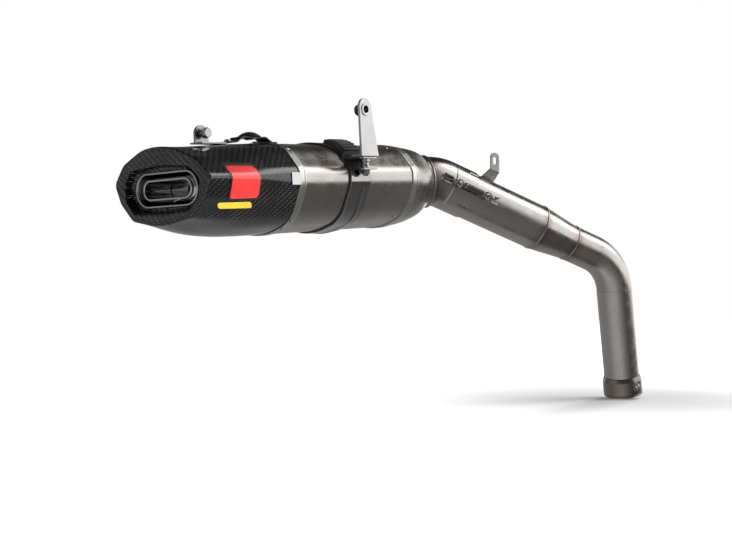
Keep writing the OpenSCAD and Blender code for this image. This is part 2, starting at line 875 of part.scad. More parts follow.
// ---- link pipe ----
module link_tube() {
    color(titanium)
        place(joint_pos, link_dir)
            tube(upper_od, tube_wall, -insertion, norm(seam_1 - joint_pos));
}
module reducer() {
    h = norm(seam_2 - seam_1);
    color(titanium)
        place(seam_1, link_dir)
            rotate_extrude()
                polygon([[upper_od / 2, 0], [lower_od / 2, h], [lower_od / 2 - tube_wall, h],
                         [upper_od / 2 - tube_wall, 0]]);
}
lower_run = bend_run(link_dir, down_dir, lower_bend_r);
module middle_tube() {
    color(titanium)
        place(seam_2, link_dir)
            tube(lower_od, tube_wall, 0, norm(lower_corner - seam_2) - lower_run);
}
module lower_bend() {
    color(titanium)
        bend(lower_corner, link_dir, down_dir, lower_bend_r)
            annulus(lower_od, tube_wall);
}
module lower_tube() {
    color(titanium)
        place(lower_corner, down_dir)
            tube(lower_od, tube_wall, lower_run, norm(socket_pos - lower_corner) - collar_h);
}
module socket_collar() {
    top = -collar_h;
    color(titanium)
        place(socket_pos, down_dir)
            difference() {
                union() {
                    translate([0, 0, top])
                        cylinder(d1 = lower_od + 1, d2 = collar_od, h = 6);
                    translate([0, 0, top + 6])
                        cylinder(d = collar_od, h = collar_h - 6);
                }
                translate([0, 0, top - 1])
                    cylinder(d = lower_od - 2 * tube_wall, h = collar_h + 2);
                translate([0, 0, -socket_depth])
                    cylinder(d = lower_od + 0.4, h = socket_depth + 1);
            }
}
module bead(od, width = 3) {
    rotate_extrude()
        translate([od / 2 + skin, 0])
            intersection() {
                scale([1, 2])
                    circle(d = width, $fn = 24);
                translate([0, -width])
                    square([width, 2 * width]);
            }
}
module link_welds() {
    color("gray") {
        place(seam_1, link_dir)
            bead(upper_od, 1.6);
        place(seam_2, link_dir)
            bead(lower_od + 0.7, 1.6);
    }
}
module link_hooks() {
    color(steel)
        place(joint_pos, link_dir)
            for (side = [0, 180])
                rotate([0, 0, side])
                    spring_hook(upper_od / 2 + skin, [hook_front - 6, hook_front + 10], hook_front,
                        hook_front + 9, 6, -1);
}
// A bent sheet: the lower leg leans outwards from the top of the pipe, the upper leg is upright
bracket_at = 24;        // station of its middle
bracket_out = 12;       // how far the upper leg stands to the right of the pipe's axis
bracket_bend = 44.5;    // height of the bend above the pipe's axis
bracket_top = 24.4;     // height of the upper leg above the bend
bracket_w = 13.5;
bracket_t = 2.5;
module upper_leg() {
    drop = bracket_w / 2 * link_dir.z / norm([link_dir.x, link_dir.y]);
    difference() {
        linear_extrude(bracket_t) {
            polygon([[-bracket_w / 2, -drop], [bracket_w / 2, drop],
                     [bracket_w / 2, bracket_top - bracket_w / 2],
                     [-bracket_w / 2, bracket_top - bracket_w / 2]]);
            translate([0, bracket_top - bracket_w / 2])
                circle(d = bracket_w);
        }
        for (z = [11, 16])
            translate([0, z, -1])
                cylinder(d = 5.5, h = bracket_t + 2);
        translate([-5.5 / 2, 11, -1])
            cube([5.5, 5, bracket_t + 2]);
    }
}
module link_bracket() {
    bend_mid = joint_pos + link_dir * bracket_at - link_left * bracket_out
        + link_up * bracket_bend;
    color(steel) {
        place(joint_pos + link_dir * bracket_at, link_dir)
            difference() {
                hull() {
                    translate([-1.5, upper_od / 2 - 1, -11])
                        cube([3, 1.5, 20.6]);
                    translate([-bracket_out - bracket_t, bracket_bend - 2.4, -7.1])
                        cube([bracket_t, 2.9, 14.2]);
                }
                translate([0, 0, -20])
                    cylinder(d = upper_od + 2 * skin, h = 50);
            }
        place(bend_mid, -link_left)
            upper_leg();
    }
}
module socket_lugs() {
    color(steel)
        place(socket_pos, down_dir)
            for (turn = [35, 215])
                rotate([0, 0, turn])
                    difference() {
                        hull() {
                            translate([collar_od / 2 - 1, -1.25, -24])
                                cube([1, 2.5, 16]);
                            translate([collar_od / 2 + 7, -1.25, -18])
                                rotate([-90, 0, 0])
                                    cylinder(r = 4.5, h = 2.5);
                        }
                        translate([collar_od / 2 + 7, -3, -18])
                            rotate([-90, 0, 0])
                                cylinder(r = 2.5, h = 6);
                        translate([0, 0, -40])
                            cylinder(d = collar_od + 2 * skin, h = 60);
                    }
}

outer_sleeve();
end_cap();
rear_band();
front_band();
front_cap();
neck_ring();
neck_tube();
inlet_bend();
slip_socket();
inlet_hooks();
outlet_duct();
rear_baffle();
front_baffle();
core_tube();
packing();
cap_rivets();
front_rivets();
badge_base();
badge_plate();
badge_strip();
rear_bracket();
rear_bracket_bolt();
rear_bracket_nut();
seat_bridge();
bridge_rivets();
bridge_grommet();
noise_insert();
insert_tube();
insert_screw();
clamp_band();
clamp_lining();
clamp_pad();
clamp_bolt();
clamp_nut();
clamp_spacer();
hanger_bracket();
hanger_bush();
hanger_nut();
near_spring();
far_spring();
link_tube();
reducer();
middle_tube();
lower_bend();
lower_tube();
socket_collar();
link_welds();
link_hooks();
link_bracket();
socket_lugs();
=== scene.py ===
"""Looks of a slip-on racing exhaust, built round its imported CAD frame.

Shapes are written in millimetres in the frame of the part they belong to, and a matrix carries
each one into the row frame in metres. Stations run along the silencer's axis or along the pipe.
"""
import json
from math import acos, asin, atan2, cos, exp, hypot, pi, radians, sin, sqrt, tan, tau

import bmesh
import bpy
from mathutils import Matrix, Vector
from mathutils.geometry import intersect_line_line


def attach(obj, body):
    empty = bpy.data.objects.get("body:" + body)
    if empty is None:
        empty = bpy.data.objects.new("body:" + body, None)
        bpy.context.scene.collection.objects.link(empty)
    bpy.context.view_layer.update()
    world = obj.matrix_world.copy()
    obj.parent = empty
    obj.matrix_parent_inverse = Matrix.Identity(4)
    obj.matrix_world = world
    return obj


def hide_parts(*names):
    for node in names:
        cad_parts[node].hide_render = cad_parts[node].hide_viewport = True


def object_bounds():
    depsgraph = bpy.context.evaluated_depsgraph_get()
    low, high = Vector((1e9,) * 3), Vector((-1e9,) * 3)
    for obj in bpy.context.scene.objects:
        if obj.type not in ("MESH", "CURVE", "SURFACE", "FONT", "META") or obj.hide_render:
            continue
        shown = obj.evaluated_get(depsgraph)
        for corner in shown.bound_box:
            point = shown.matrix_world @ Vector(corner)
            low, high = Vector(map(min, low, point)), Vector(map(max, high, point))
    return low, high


MM = 0.001
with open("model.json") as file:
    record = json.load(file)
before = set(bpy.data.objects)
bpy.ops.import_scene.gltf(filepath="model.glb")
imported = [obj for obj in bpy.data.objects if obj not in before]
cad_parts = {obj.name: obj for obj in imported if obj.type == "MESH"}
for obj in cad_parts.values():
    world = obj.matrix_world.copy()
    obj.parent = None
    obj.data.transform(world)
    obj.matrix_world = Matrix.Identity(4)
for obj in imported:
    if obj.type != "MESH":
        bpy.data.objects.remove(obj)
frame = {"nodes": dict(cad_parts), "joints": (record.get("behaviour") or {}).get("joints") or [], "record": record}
scene = bpy.context.scene
cad_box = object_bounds()
nodes = frame["nodes"]
joints = {j["name"]: j for j in frame["joints"]}
mounts = {m["name"]: m for m in frame["record"]["mounts"]}

# ---- driving dimensions, as in the CAD ----
skin = 0.05             # clearance between neighbouring pieces that stay put
sleeve_half_w = 68.5
sleeve_half_h = 51.5
sleeve_rear = -78
sleeve_front = 120
sleeve_wall = 1
band_w = 10
neck_station = 233
neck_rise = 3.3
face_station = -231
recess_depth = 13
duct_ledge = 16
outlet_w = 96
outlet_h = 37.5
outlet_z = 0
outlet_face = -219
duct_depth = 52
insert_w = 73
insert_h = 20
inlet_od = 66
upper_od = 63
lower_od = 51
tube_wall = 1.2
inlet_bend_r = 60
lower_bend_r = 68
joint_run = 48.5
insertion = 30
seam_1 = 118
seam_2 = 176
collar_h = 28
collar_od = 56
socket_depth = 22
clamp_w = 35
clamp_station = 15
top_z = sleeve_half_h - 2.1
bracket_z = top_z - 2.3
cap_front = sleeve_rear - 1
cap_wall = 2
dome_wall = 1.2
hook_back = -34
spring_length = 52
hook_front = hook_back + spring_length
spring_radius = 41

# ---- frames of the parts ----
UP = Vector((0, 0, 1))


def stand(origin, direction):
    """Millimetre frame at a point, +Z along a direction and +X level, to the left."""
    z = direction.normalized()
    x = UP.cross(z).normalized()
    turn = Matrix((x, z.cross(x), z)).transposed().to_4x4()
    return Matrix.Translation(origin) @ turn @ Matrix.Scale(MM, 4)


def shift(x, y, z):
    return Matrix.Translation((x, y, z))


def turned(degrees, axis):
    return Matrix.Rotation(radians(degrees), 4, axis)


joint_pos = Vector(joints["silencer_swivel"]["pos_m"])
link_dir = Vector(joints["silencer_swivel"]["axis"]).normalized()
silencer_dir = Vector(joints["clamp_slide"]["axis"]).normalized()
down_dir = Vector(mounts["inlet_socket"]["axis"]).normalized()
socket_pos = Vector(mounts["inlet_socket"]["pos_m"])
lower_corner = intersect_line_line(
    joint_pos, joint_pos + link_dir, socket_pos, socket_pos - down_dir)[0]
upper_corner = joint_pos - link_dir * joint_run * MM
silencer_pos = Vector((-546, 135, 271)) * MM
tilt = asin(silencer_dir.z)
SILENCER = (Matrix.Translation(silencer_pos) @ Matrix.Rotation(-tilt, 4, "Y")
            @ Matrix.Scale(MM, 4))
CLAMP = SILENCER @ shift(clamp_station, 0, 0)
neck_pos = SILENCER @ Vector((neck_station, 0, neck_rise))
stub_dir = (upper_corner - neck_pos).normalized()
NECK = stand(neck_pos, stub_dir)
JOINT = stand(joint_pos, link_dir)
FOOT = stand(socket_pos, down_dir)


# ---- outlines across the silencer: corners are (y, z, fillet radius) ----
def lerp(a, b, t):
    return a * (1 - t) + b * t


def shares(n, first=0.0, last=1.0):
    """Even steps from first to last, with both."""
    return [lerp(first, last, i / n) for i in range(n + 1)]


def around(n):
    return [tau * i / n for i in range(n)]


def polar(r, a, z):
    return Vector((r * cos(a), r * sin(a), z))


def arc(x, y, r, first, last, n):
    """Points on an arc between two angles in degrees, with both ends."""
    return [(x + r * cos(radians(a)), y + r * sin(radians(a))) for a in shares(n, first, last)]


def smooth(t):
    t = min(max(t, 0), 1)
    return t * t * (3 - 2 * t)


def fillet(a, b, c, n):
    corner = Vector(b[:2])
    u = (Vector(a[:2]) - corner).normalized()
    v = (Vector(c[:2]) - corner).normalized()
    half = acos(u.dot(v)) / 2
    centre = corner + (u + v).normalized() * b[2] / sin(half)
    start = corner + u * b[2] / tan(half) - centre
    stop = corner + v * b[2] / tan(half) - centre
    first = atan2(start.y, start.x)
    turn = atan2(start.x * stop.y - start.y * stop.x, start.dot(stop))
    return [centre + b[2] * Vector((cos(a), sin(a))) for a in shares(n, first, first + turn)]


def outline(corners, n=14):
    ahead = corners[1:] + corners[:1]
    return [p for i, (b, c) in enumerate(zip(corners, ahead)) for p in fillet(corners[i - 1], b, c, n)]


def sleeve_corners(grow=0.0):
    w, h, g = sleeve_half_w + grow, sleeve_half_h + grow, grow * 0.75
    return [(w, -1, 26), (w, 15, 20), (46.5 + g, 42 + g, 36), (0, h + 0.5, 120),
            (-46.5 - g, 42 + g, 36), (-w, 15, 20), (-w, -1, 26), (-50 - g, -41 - g, 40),
            (0, -h - 6, 80), (50 + g, -41 - g, 40)]


def face_corners(grow=0.0):
    return [(65.5 + grow, -12 - grow / 2, 14), (75 + grow, 9, 8), (57 + grow, 28.5 + grow, 25),
            (24, 41.5 + grow, 60), (0, 45.2 + grow, 120), (-24, 41.5 + grow, 60),
            (-57 - grow, 28.5 + grow, 25), (-75 - grow, 9, 8), (-65.5 - grow, -12 - grow / 2, 14),
            (-45 - grow, -31.5 - grow, 12), (0, -39.5 - grow, 90), (45 + grow, -31.5 - grow, 12)]


def recess_corners(grow=0.0):
    return [(56 + grow, -9, 12), (59 + grow, 7, 8), (46 + grow, 22 + grow, 14), (0, 26 + grow, 100),
            (-46 - grow, 22 + grow, 14), (-59 - grow, 7, 8), (-56 - grow, -9, 12),
            (-42 - grow, -23 - grow, 12), (0, -26 - grow, 100), (42 + grow, -23 - grow, 12)]


def stadium_corners(w, h):
    a, b = w / 2, h / 2
    r = b - 0.01
    return [(a, b, r), (-a, b, r), (-a, -b, r), (a, -b, r)]


def reach(points, angle):
    """Distance from the axis to an outline along one direction."""
    dx, dy = cos(angle), sin(angle)
    best = 0
    for i, (px, py) in enumerate(points):
        ex, ey = points[(i + 1) % len(points)] - points[i]
        den = dx * ey - dy * ex
        if abs(den) < 1e-9:
            continue
        t = (px * ey - py * ex) / den
        u = (px * dy - py * dx) / den
        if t > best and -1e-6 <= u <= 1 + 1e-6:
            best = t
    return best


RING = 176


def spread(i, n=RING):
    return atan2(0.7 * sin(tau * i / n), cos(tau * i / n))


def sampled(corners, n=RING):
    """An outline as n points, at directions that suit a wide section."""
    points = outline(corners)
    return [reach(points, spread(i, n)) * Vector((cos(spread(i, n)), sin(spread(i, n))))
            for i in range(n)]


def measured(corners, n=240, start=0.0, stop=1.0):
    """An outline as n points at even steps along it, from one share of its length to another."""
    points = outline(corners)
    points.append(points[0])
    marks = [0]
    for a, b in zip(points, points[1:]):
        marks.append(marks[-1] + (b - a).length)
    total = marks[-1]
    ring = []
    whole = abs(stop - start - 1) < 1e-9
    for i in range(n):
        share = start + (stop - start) * i / (n if whole else n - 1)
        goal = (share % 1) * total
        k = max(j for j in range(len(marks) - 1) if marks[j] <= goal)
        length = marks[k + 1] - marks[k]
        ring.append(points[k].lerp(points[k + 1], (goal - marks[k]) / length if length else 0))
    return ring


# ---- mesh building ----
class Shape:
    """Vertices, faces and a UV map in metres, collected from simple surfaces."""

    def __init__(self):
        self.verts = []
        self.faces = []
        self.uvs = []

    def grid(self, rows, around=True, along=False, uv=None, caps=False, v0=0.0):
        """Quads over rows of points. uv(i, j, point) gives the map, or lengths do."""
        base, n, m = len(self.verts), len(rows[0]), len(rows)
        middle = rows[m // 2]
        across, down = [0], [v0]
        for j in range(n):
            across.append(across[-1] + (middle[(j + 1) % n] - middle[j]).length)
        for i in range(m):
            nearby = [(rows[(i + 1) % m][j] - rows[i][j]).length for j in range(0, n, max(1,
                                                                                          n // 8))]
            down.append(down[-1] + sum(nearby) / len(nearby))
        self.verts += [p.copy() for row in rows for p in row]
        for i in range(m if along else m - 1):
            for j in range(n if around else n - 1):
                i2, j2 = (i + 1) % m, (j + 1) % n
                corners = [(i, j), (i, j + 1), (i + 1, j + 1), (i + 1, j)]
                ids = [(i, j), (i, j2), (i2, j2), (i2, j)]
                self.faces.append([base + a * n + b for a, b in ids])
                if uv:
                    self.uvs.append([uv(a, b, rows[a][b]) for a, b in ids])
                else:
                    self.uvs.append([(across[b] * MM, down[a] * MM) for a, b in corners])
        if caps:
            ends = ([[base + i * n for i in range(m)], [base + i * n + n - 1 for i in range(m)]]
                    if along else
                    [[base + j for j in range(n)], [base + (m - 1) * n + j for j in range(n)]])
            for end in ends:
                self.faces.append(end)
                self.uvs.append([(self.verts[k].y * MM, self.verts[k].z * MM) for k in end])
        return self

    def add(self, other, matrix=Matrix()):
        base = len(self.verts)
        self.verts += [matrix @ p for p in other.verts]
        self.faces += [[base + k for k in face] for face in other.faces]
        self.uvs += other.uvs
        return self

    def moved(self, matrix):
        return Shape().add(self, matrix)


def rounded(points, radius, n=4):
    """A profile with its inner corners rounded; the ends stay."""
    out = [Vector(points[0])]
    for a, b, c in zip(points, points[1:], points[2:]):
        a, b, c = Vector(a), Vector(b), Vector(c)
        cut = min(radius, (a - b).length * 0.49, (c - b).length * 0.49)
        p, q = b + (a - b).normalized() * cut, b + (c - b).normalized() * cut
        for i in range(n + 1):
            t = i / n
            out.append(p * (1 - t) ** 2 + b * 2 * t * (1 - t) + q * t * t)
    out.append(Vector(points[-1]))
    return out


def lathe(profile, n=72):
    """Turns a profile of (radius, height) round Z."""
    return [[polar(r, a, z) for a in around(n)] for r, z in profile]


def closed(rows, v0=0.0):
    """Rows joined one to the next, and the last to the first."""
    return Shape().grid(rows, along=True, v0=v0)


def turned_ring(profile, n=72):
    """A closed profile turned into a ring, such as a tube with rounded ends."""
    return closed(lathe(profile, n))


def turned_solid(profile, n=48):
    """A profile that starts and ends near the axis, turned into a closed solid."""
    return Shape().grid(lathe(profile, n), caps=True)


def tube_profile(od, wall, low, high):
    """Section of a straight tube with rounded ends, as a closed loop."""
    r, q = od / 2, od / 2 - wall
    e = min(0.35, wall * 0.45)
    outside = [(r, z) for z in shares(max(2, int((high - low) / 12)), low + e, high - e)]
    inside = [(q, z) for _, z in reversed(outside)]
    return outside + [(r - e, high), (q + e, high)] + inside + [(q + e, low), (r - e, low)]


def hex_solid(across, h, chamfer=0.6, bore=0.0):
    """A hexagon head or nut whose corners are cut back at both ends."""
    n, flat, step = 72, across / 2, pi / 3

    def ring(z, cap):
        return [polar(min(flat / cos((a + step / 2) % step - step / 2), cap), a, z)
                for a in around(n)]

    corner = flat / cos(step / 2)
    rows = [ring(z, cap) for z, cap in (
        (0, flat * 0.96), (chamfer * 0.5, flat * 1.04), (chamfer, corner), (h - chamfer, corner),
        (h - chamfer * 0.5, flat * 1.04), (h, flat * 0.96))]
    if bore:
        rows += lathe([(bore + 0.4, h), (bore, h - 0.4), (bore, 0.4), (bore + 0.4, 0)], n)
        return closed(rows)
    return Shape().grid(rows, caps=True)


def thread(d, low, high, pitch=1.0):
    """A threaded shank: fine V grooves and a chamfered end."""
    profile = [(0.05, low), (d / 2 - 0.5, low)]
    for z in (low + pitch * i for i in range(int((high - low) / pitch))):
        profile += [(d / 2 - 0.35, z + pitch * 0.1), (d / 2, z + pitch * 0.6)]
    return turned_solid(profile + [(d / 2 - 0.5, high), (0.05, high)], 32)


def washer(outer, inner, t, z=0.0):
    return turned_ring(rounded([(inner, z + t / 2), (inner, z), (outer, z), (outer, z + t),
                                (inner, z + t), (inner, z + t / 2)], t * 0.25, 2), 40)


def circle(x, y, r, n=40, clockwise=False):
    return arc(x, y, r, 0, -360 if clockwise else 360, n)[:-1]


def hull(points):
    """Convex outline round a set of points, anticlockwise."""
    points = sorted(set((round(x, 5), round(y, 5)) for x, y in points))

    def half(seq):
        chain = []
        for p in seq:
            while len(chain) > 1 and ((chain[-1][0] - chain[-2][0]) * (p[1] - chain[-2][1])
                                      - (chain[-1][1] - chain[-2][1]) * (p[0] - chain[-2][0])) <= 0:
                chain.pop()
            chain.append(p)
        return chain[:-1]

    return half(points) + half(points[::-1])


def plate(loops, thickness, bevel=0.35):
    """A flat plate from z = 0 up: the first loop is its outline, the others are holes."""
    curve = bpy.data.curves.new("plate", "CURVE")
    curve.dimensions = "2D"
    curve.fill_mode = "BOTH"
    curve.extrude = thickness / 2 - bevel
    curve.bevel_depth = bevel
    curve.bevel_resolution = 2
    curve.offset = -bevel
    for loop in loops:
        spline = curve.splines.new("POLY")
        spline.points.add(len(loop) - 1)
        for point, (x, y) in zip(spline.points, loop):
            point.co = (x, y, 0, 1)
        spline.use_cyclic_u = True
    holder = bpy.data.objects.new("plate", curve)
    scene.collection.objects.link(holder)
    mesh = bpy.data.meshes.new_from_object(holder.evaluated_get(
        bpy.context.evaluated_depsgraph_get()))
    shape = Shape()
    shape.verts = [v.co + Vector((0, 0, thickness / 2)) for v in mesh.vertices]
    shape.faces = [list(p.vertices) for p in mesh.polygons]
    shape.uvs = [[(shape.verts[k].x * MM, shape.verts[k].y * MM) for k in face]
                 for face in shape.faces]
    bpy.data.objects.remove(holder)
    bpy.data.curves.remove(curve)
    bpy.data.meshes.remove(mesh)
    return shape


def wire(path, radius, n=14, loop=False):
    """A round wire along a path of points, its section carried without twist."""
    count = len(path)
    rows = []
    side = (path[1] - path[-1 if loop else 0]).orthogonal()
    for i, point in enumerate(path):
        ahead = path[(i + 1) % count] if loop else path[min(i + 1, count - 1)]
        behind = path[i - 1] if loop or i else path[0]
        forward = (ahead - behind).normalized()
        side = (side - forward * side.dot(forward)).normalized()
        other = forward.cross(side)
        rows.append([point + radius * (cos(a) * side + sin(a) * other) for a in around(n)])
    return Shape().grid(rows, along=loop, caps=not loop)


def piece(name, shape, matrix, body, finish, *replaced, sharp=32):
    """One visible piece: welded, smooth shaded, riding on its body. finish is (slot, material); the slot is not
    used.
    """
    slot, material = finish
    mesh = bpy.data.meshes.new(name)
    mesh.from_pydata([matrix @ p for p in shape.verts], [], shape.faces)
    layer = mesh.uv_layers.new(name="UVMap")
    layer.data.foreach_set("uv", [c for face in shape.uvs for uv in face for c in uv])
    work = bmesh.new()
    work.from_mesh(mesh)
    bmesh.ops.remove_doubles(work, verts=work.verts, dist=2e-6)
    bmesh.ops.recalc_face_normals(work, faces=work.faces)
    work.to_mesh(mesh)
    work.free()
    mesh.shade_smooth()
    mesh.set_sharp_from_angle(angle=radians(sharp))
    mesh.materials.append(material)
    obj = bpy.data.objects.new(name, mesh)
    scene.collection.objects.link(obj)
    weighted = obj.modifiers.new("weighted", "WEIGHTED_NORMAL")
    weighted.keep_sharp = True
    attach(obj, body)
    if replaced:
        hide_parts(*replaced)
    return obj


# ---- materials ----
class Nodes:
    """Short calls for the nodes of one tree."""

    def __init__(self, tree):
        self.tree = tree

    def feed(self, socket, value):
        if isinstance(value, bpy.types.NodeSocket):
            self.tree.links.new(value, socket)
        else:
            socket.default_value = value

    def set(self, node, values):
        for key, value in values.items():
            socket = node.inputs.get(key.replace("_", " "))
            if socket is None:
                setattr(node, key, value)
            else:
                self.feed(socket, value)

    def node(self, kind, out=0, **values):
        made = self.tree.nodes.new("ShaderNode" + kind)
        self.set(made, values)
        return made.outputs[out]

    def math(self, operation, *values):
        made = self.tree.nodes.new("ShaderNodeMath")
        made.operation = operation
        for socket, value in zip(made.inputs, values):
            self.feed(socket, value)
        return made.outputs[0]

    def axis(self, vector, index):
        return self.node("SeparateXYZ", out=index, Vector=vector)

    def place(self, scale=(1, 1, 1), kind="UV"):
        where = self.node("TexCoord", out=2 if kind == "UV" else 3)
        return self.node("Mapping", Vector=where, Scale=scale)

    def noise(self, scale, detail=3.0, stretch=(1, 1, 1), kind="UV", rough=0.5):
        return self.node("TexNoise", Vector=self.place(stretch, kind), Scale=scale, Detail=detail,
                         Roughness=rough)

    def span(self, value, low, high, to_low=0.0, to_high=1.0):
        """A smooth step of value, from to_low at low to to_high at high."""
        made = self.tree.nodes.new("ShaderNodeMapRange")
        made.interpolation_type = "SMOOTHSTEP"
        for socket, number in zip(made.inputs, (value, low, high, to_low, to_high)):
            self.feed(socket, number)
        return made.outputs[0]

    def ramp(self, value, *stops):
        made = self.tree.nodes.new("ShaderNodeValToRGB")
        elements = made.color_ramp.elements
        while len(elements) < len(stops):
            elements.new(0.5)
        for element, (place, colour) in zip(elements, stops):
            element.position = place
            element.color = (*colour, 1) if isinstance(colour, tuple) else (colour, colour,
                                                                            colour, 1)
        self.feed(made.inputs[0], value)
        return made.outputs[0]

    def blend(self, share, first, second):
        made = self.tree.nodes.new("ShaderNodeMix")
        made.data_type = "RGBA"
        for index, value in ((0, share), (6, first), (7, second)):
            self.feed(made.inputs[index], (*value, 1) if isinstance(value, tuple) else value)
        return made.outputs[2]

    def bump(self, height, distance, strength=1.0):
        return self.node("Bump", Height=height, Distance=distance, Strength=strength)


class Finish(Nodes):
    """A procedural material."""

    def __init__(self, name, **constants):
        self.mat = bpy.data.materials.new(name)
        self.mat.use_nodes = True
        super().__init__(self.mat.node_tree)
        self.finish(**constants)

    def finish(self, **values):
        self.set(self.tree.nodes["Principled BSDF"], values)
        return self.mat


def metal(name, light, dark, rough, grain=900, streak=(1, 1, 1), kind="UV", wear=0.25, welds=(),
          tint=0.0, bump=0.00003):
    """Bare metal: a cloudy tone, fine scratches along one direction, and heat marks by welds."""
    f = Finish(name, Metallic=1.0)
    cloud = f.noise(9, 3, kind=kind)
    fine = f.noise(grain, 4, streak, kind, 0.62)
    smear = f.noise(55, 4, kind=kind, rough=0.6)
    colour = f.ramp(cloud, (0.3, dark), (0.7, light))
    colour = f.blend(f.span(fine, 0.3, 0.75, 0.0, 0.35), colour, tuple(c * 0.78 for c in dark))
    roughness = f.math("ADD", f.span(fine, 0.25, 0.75, rough - 0.05, rough + 0.07),
                       f.span(smear, 0.35, 0.7, -0.04, 0.05))
    if welds:
        along = f.axis(f.place(), 1)
        near = None
        for weld in welds:
            gap = f.math("ABSOLUTE", f.math("SUBTRACT", along, weld * MM))
            wavy = f.math("ADD", gap, f.span(smear, 0.3, 0.7, -0.0015, 0.0015))
            near = wavy if near is None else f.math("MINIMUM", near, wavy)
        burnt = f.ramp(f.math("MULTIPLY", near, 1 / 0.02), (0.0, (0.20, 0.17, 0.16)),
                       (0.14, (0.16, 0.17, 0.22)), (0.3, (0.30, 0.22, 0.17)),
                       (0.6, (0.42, 0.36, 0.27)), (1.0, (0.42, 0.40, 0.36)))
        colour = f.blend(f.span(near, 0.0, 0.02, tint, 0.0), colour, burnt)
    normal = f.bump(f.math("ADD", f.math("MULTIPLY", fine, 0.6), f.math("MULTIPLY", smear, wear)),
                    bump)
    return f.finish(Base_Color=colour, Roughness=roughness, Normal=normal)


def carbon_finish():
    """Clear-coated two-by-two twill: tows of one direction catch the light, the others don't, and a highlight is
    painted into the base colour on their crowns.
    """
    f = Finish("carbon_twill", Coat_Weight=1.0, Coat_Roughness=0.035, Coat_IOR=1.5,
               Specular_IOR_Level=0.12)
    tow = 2.1
    where = f.place((1 / (tow * MM), 1 / (tow * MM), 1))
    u, v = f.axis(where, 0), f.axis(where, 1)
    step = f.math("FLOORED_MODULO", f.math("SUBTRACT", f.math("FLOOR", u), f.math("FLOOR", v)), 4.0)
    over = f.math("LESS_THAN", step, 1.5)
    in_u, in_v = f.math("FRACT", u), f.math("FRACT", v)
    crown_u = f.math("SINE", f.math("MULTIPLY", in_u, pi))
    crown_v = f.math("SINE", f.math("MULTIPLY", in_v, pi))
    strands = f.noise(4200, 2, (1, 0.06, 1))
    cloud = f.noise(26, 2)
    dot = f.math("MULTIPLY", f.math("POWER", f.math("MULTIPLY", crown_u, crown_v), 1.6), over)
    painted_tow_highlight = f.math("MULTIPLY", dot, f.span(cloud, 0.3, 0.7, 0.55, 1.0))
    painted_tow_highlight = f.math("MULTIPLY", painted_tow_highlight, f.span(strands, 0.3, 0.7, 0.8, 1.1))
    # Painted highlight: the base colour is bright on the crowns of the tows that run over and nearly black
    # elsewhere.
    colour = f.ramp(painted_tow_highlight, (0.0, 0.003), (0.3, 0.006), (0.7, 0.085), (1.0, 0.17))
    height = f.math("ADD", f.math("MULTIPLY", over, crown_u),
                    f.math("MULTIPLY", f.math("SUBTRACT", 1.0, over), crown_v))
    return f.finish(Base_Color=colour, Roughness=f.span(painted_tow_highlight, 0.0, 0.6, 0.5, 0.34),
                    Normal=f.bump(height, 0.00012, 0.6))


def coated(name, light, dark, rough, coat=0.0, grain=700, bump=0.00004):
    """Rubber, enamel or paint: a slightly uneven tone with a fine texture."""
    f = Finish(name, Coat_Weight=coat, Coat_Roughness=0.05)
    fine = f.noise(grain, 4, rough=0.6)
    cloud = f.noise(40, 3)
    colour = f.blend(f.span(cloud, 0.3, 0.7, 0.0, 1.0), dark, light)
    dusty = f.span(fine, 0.3, 0.7, rough - 0.07, rough + 0.1)
    return f.finish(Base_Color=colour, Roughness=dusty, Normal=f.bump(fine, bump))


def fibre_finish():
    f = Finish("glass_fibre", Roughness=0.9)
    strands = f.node("TexWave", Vector=f.place(kind="Object"), Scale=240.0, Distortion=9.0,
                     Detail=3.0)
    colour = f.ramp(strands, (0.0, (0.42, 0.36, 0.22)), (1.0, (0.78, 0.74, 0.6)))
    return f.finish(Base_Color=colour, Normal=f.bump(strands, 0.0006))


titan_light, titan_dark = (0.48, 0.45, 0.43), (0.39, 0.365, 0.345)
steel_light, steel_dark = (0.55, 0.55, 0.54), (0.45, 0.45, 0.44)
sleeve_metal = "satin_titanium", metal(
    "sleeve_titanium", titan_light, titan_dark, 0.27, 1500, (1, 0.02, 1), wear=0.1, bump=0.00001)
dome_metal = "satin_titanium", metal(
    "dome_titanium", titan_light, titan_dark, 0.28, 1300, (1, 0.05, 1), wear=0.1, bump=0.00001)
inlet_metal = "satin_titanium", metal(
    "inlet_titanium", titan_light, titan_dark, 0.23, 1300, (1, 0.06, 1), welds=(0,), tint=0.5,
    bump=0.00001)
link_metal = "satin_titanium", metal(
    "link_titanium", titan_light, titan_dark, 0.23, 1300, (1, 0.06, 1), welds=(seam_1, seam_2),
    tint=0.6, bump=0.00001)
# The socket collar is titanium painted darker: painted shade from the floor beside the pipe's foot.
shaded_collar_metal = "satin_titanium", metal(
    "collar_titanium_painted_shade", (0.26, 0.23, 0.21), (0.19, 0.165, 0.15), 0.25, 1100, (1, 0.1, 1))
band_metal = "band_titanium", metal(
    "band_titanium", (0.62, 0.62, 0.58), (0.54, 0.54, 0.50), 0.34, 1800, wear=0.3)
clamp_metal = "band_titanium", metal(
    "clamp_titanium", (0.38, 0.37, 0.36), (0.31, 0.30, 0.295), 0.09, 1600, (1, 0.03, 1), wear=0.1,
    bump=0.00001)
lip_metal = "band_titanium", metal(
    "lip_titanium", (0.56, 0.56, 0.57), (0.44, 0.44, 0.45), 0.14, 1500)
steel = "bare_steel", metal("bare_steel", steel_light, steel_dark, 0.3, 1600)
dark_steel = "bare_steel", metal(
    "brushed_steel", (0.34, 0.34, 0.335), (0.27, 0.27, 0.265), 0.28, 1600)
pale_steel = "bare_steel", metal(
    "blasted_steel", (0.60, 0.60, 0.59), (0.54, 0.54, 0.53), 0.42, 2200, wear=0.5, bump=0.00006)
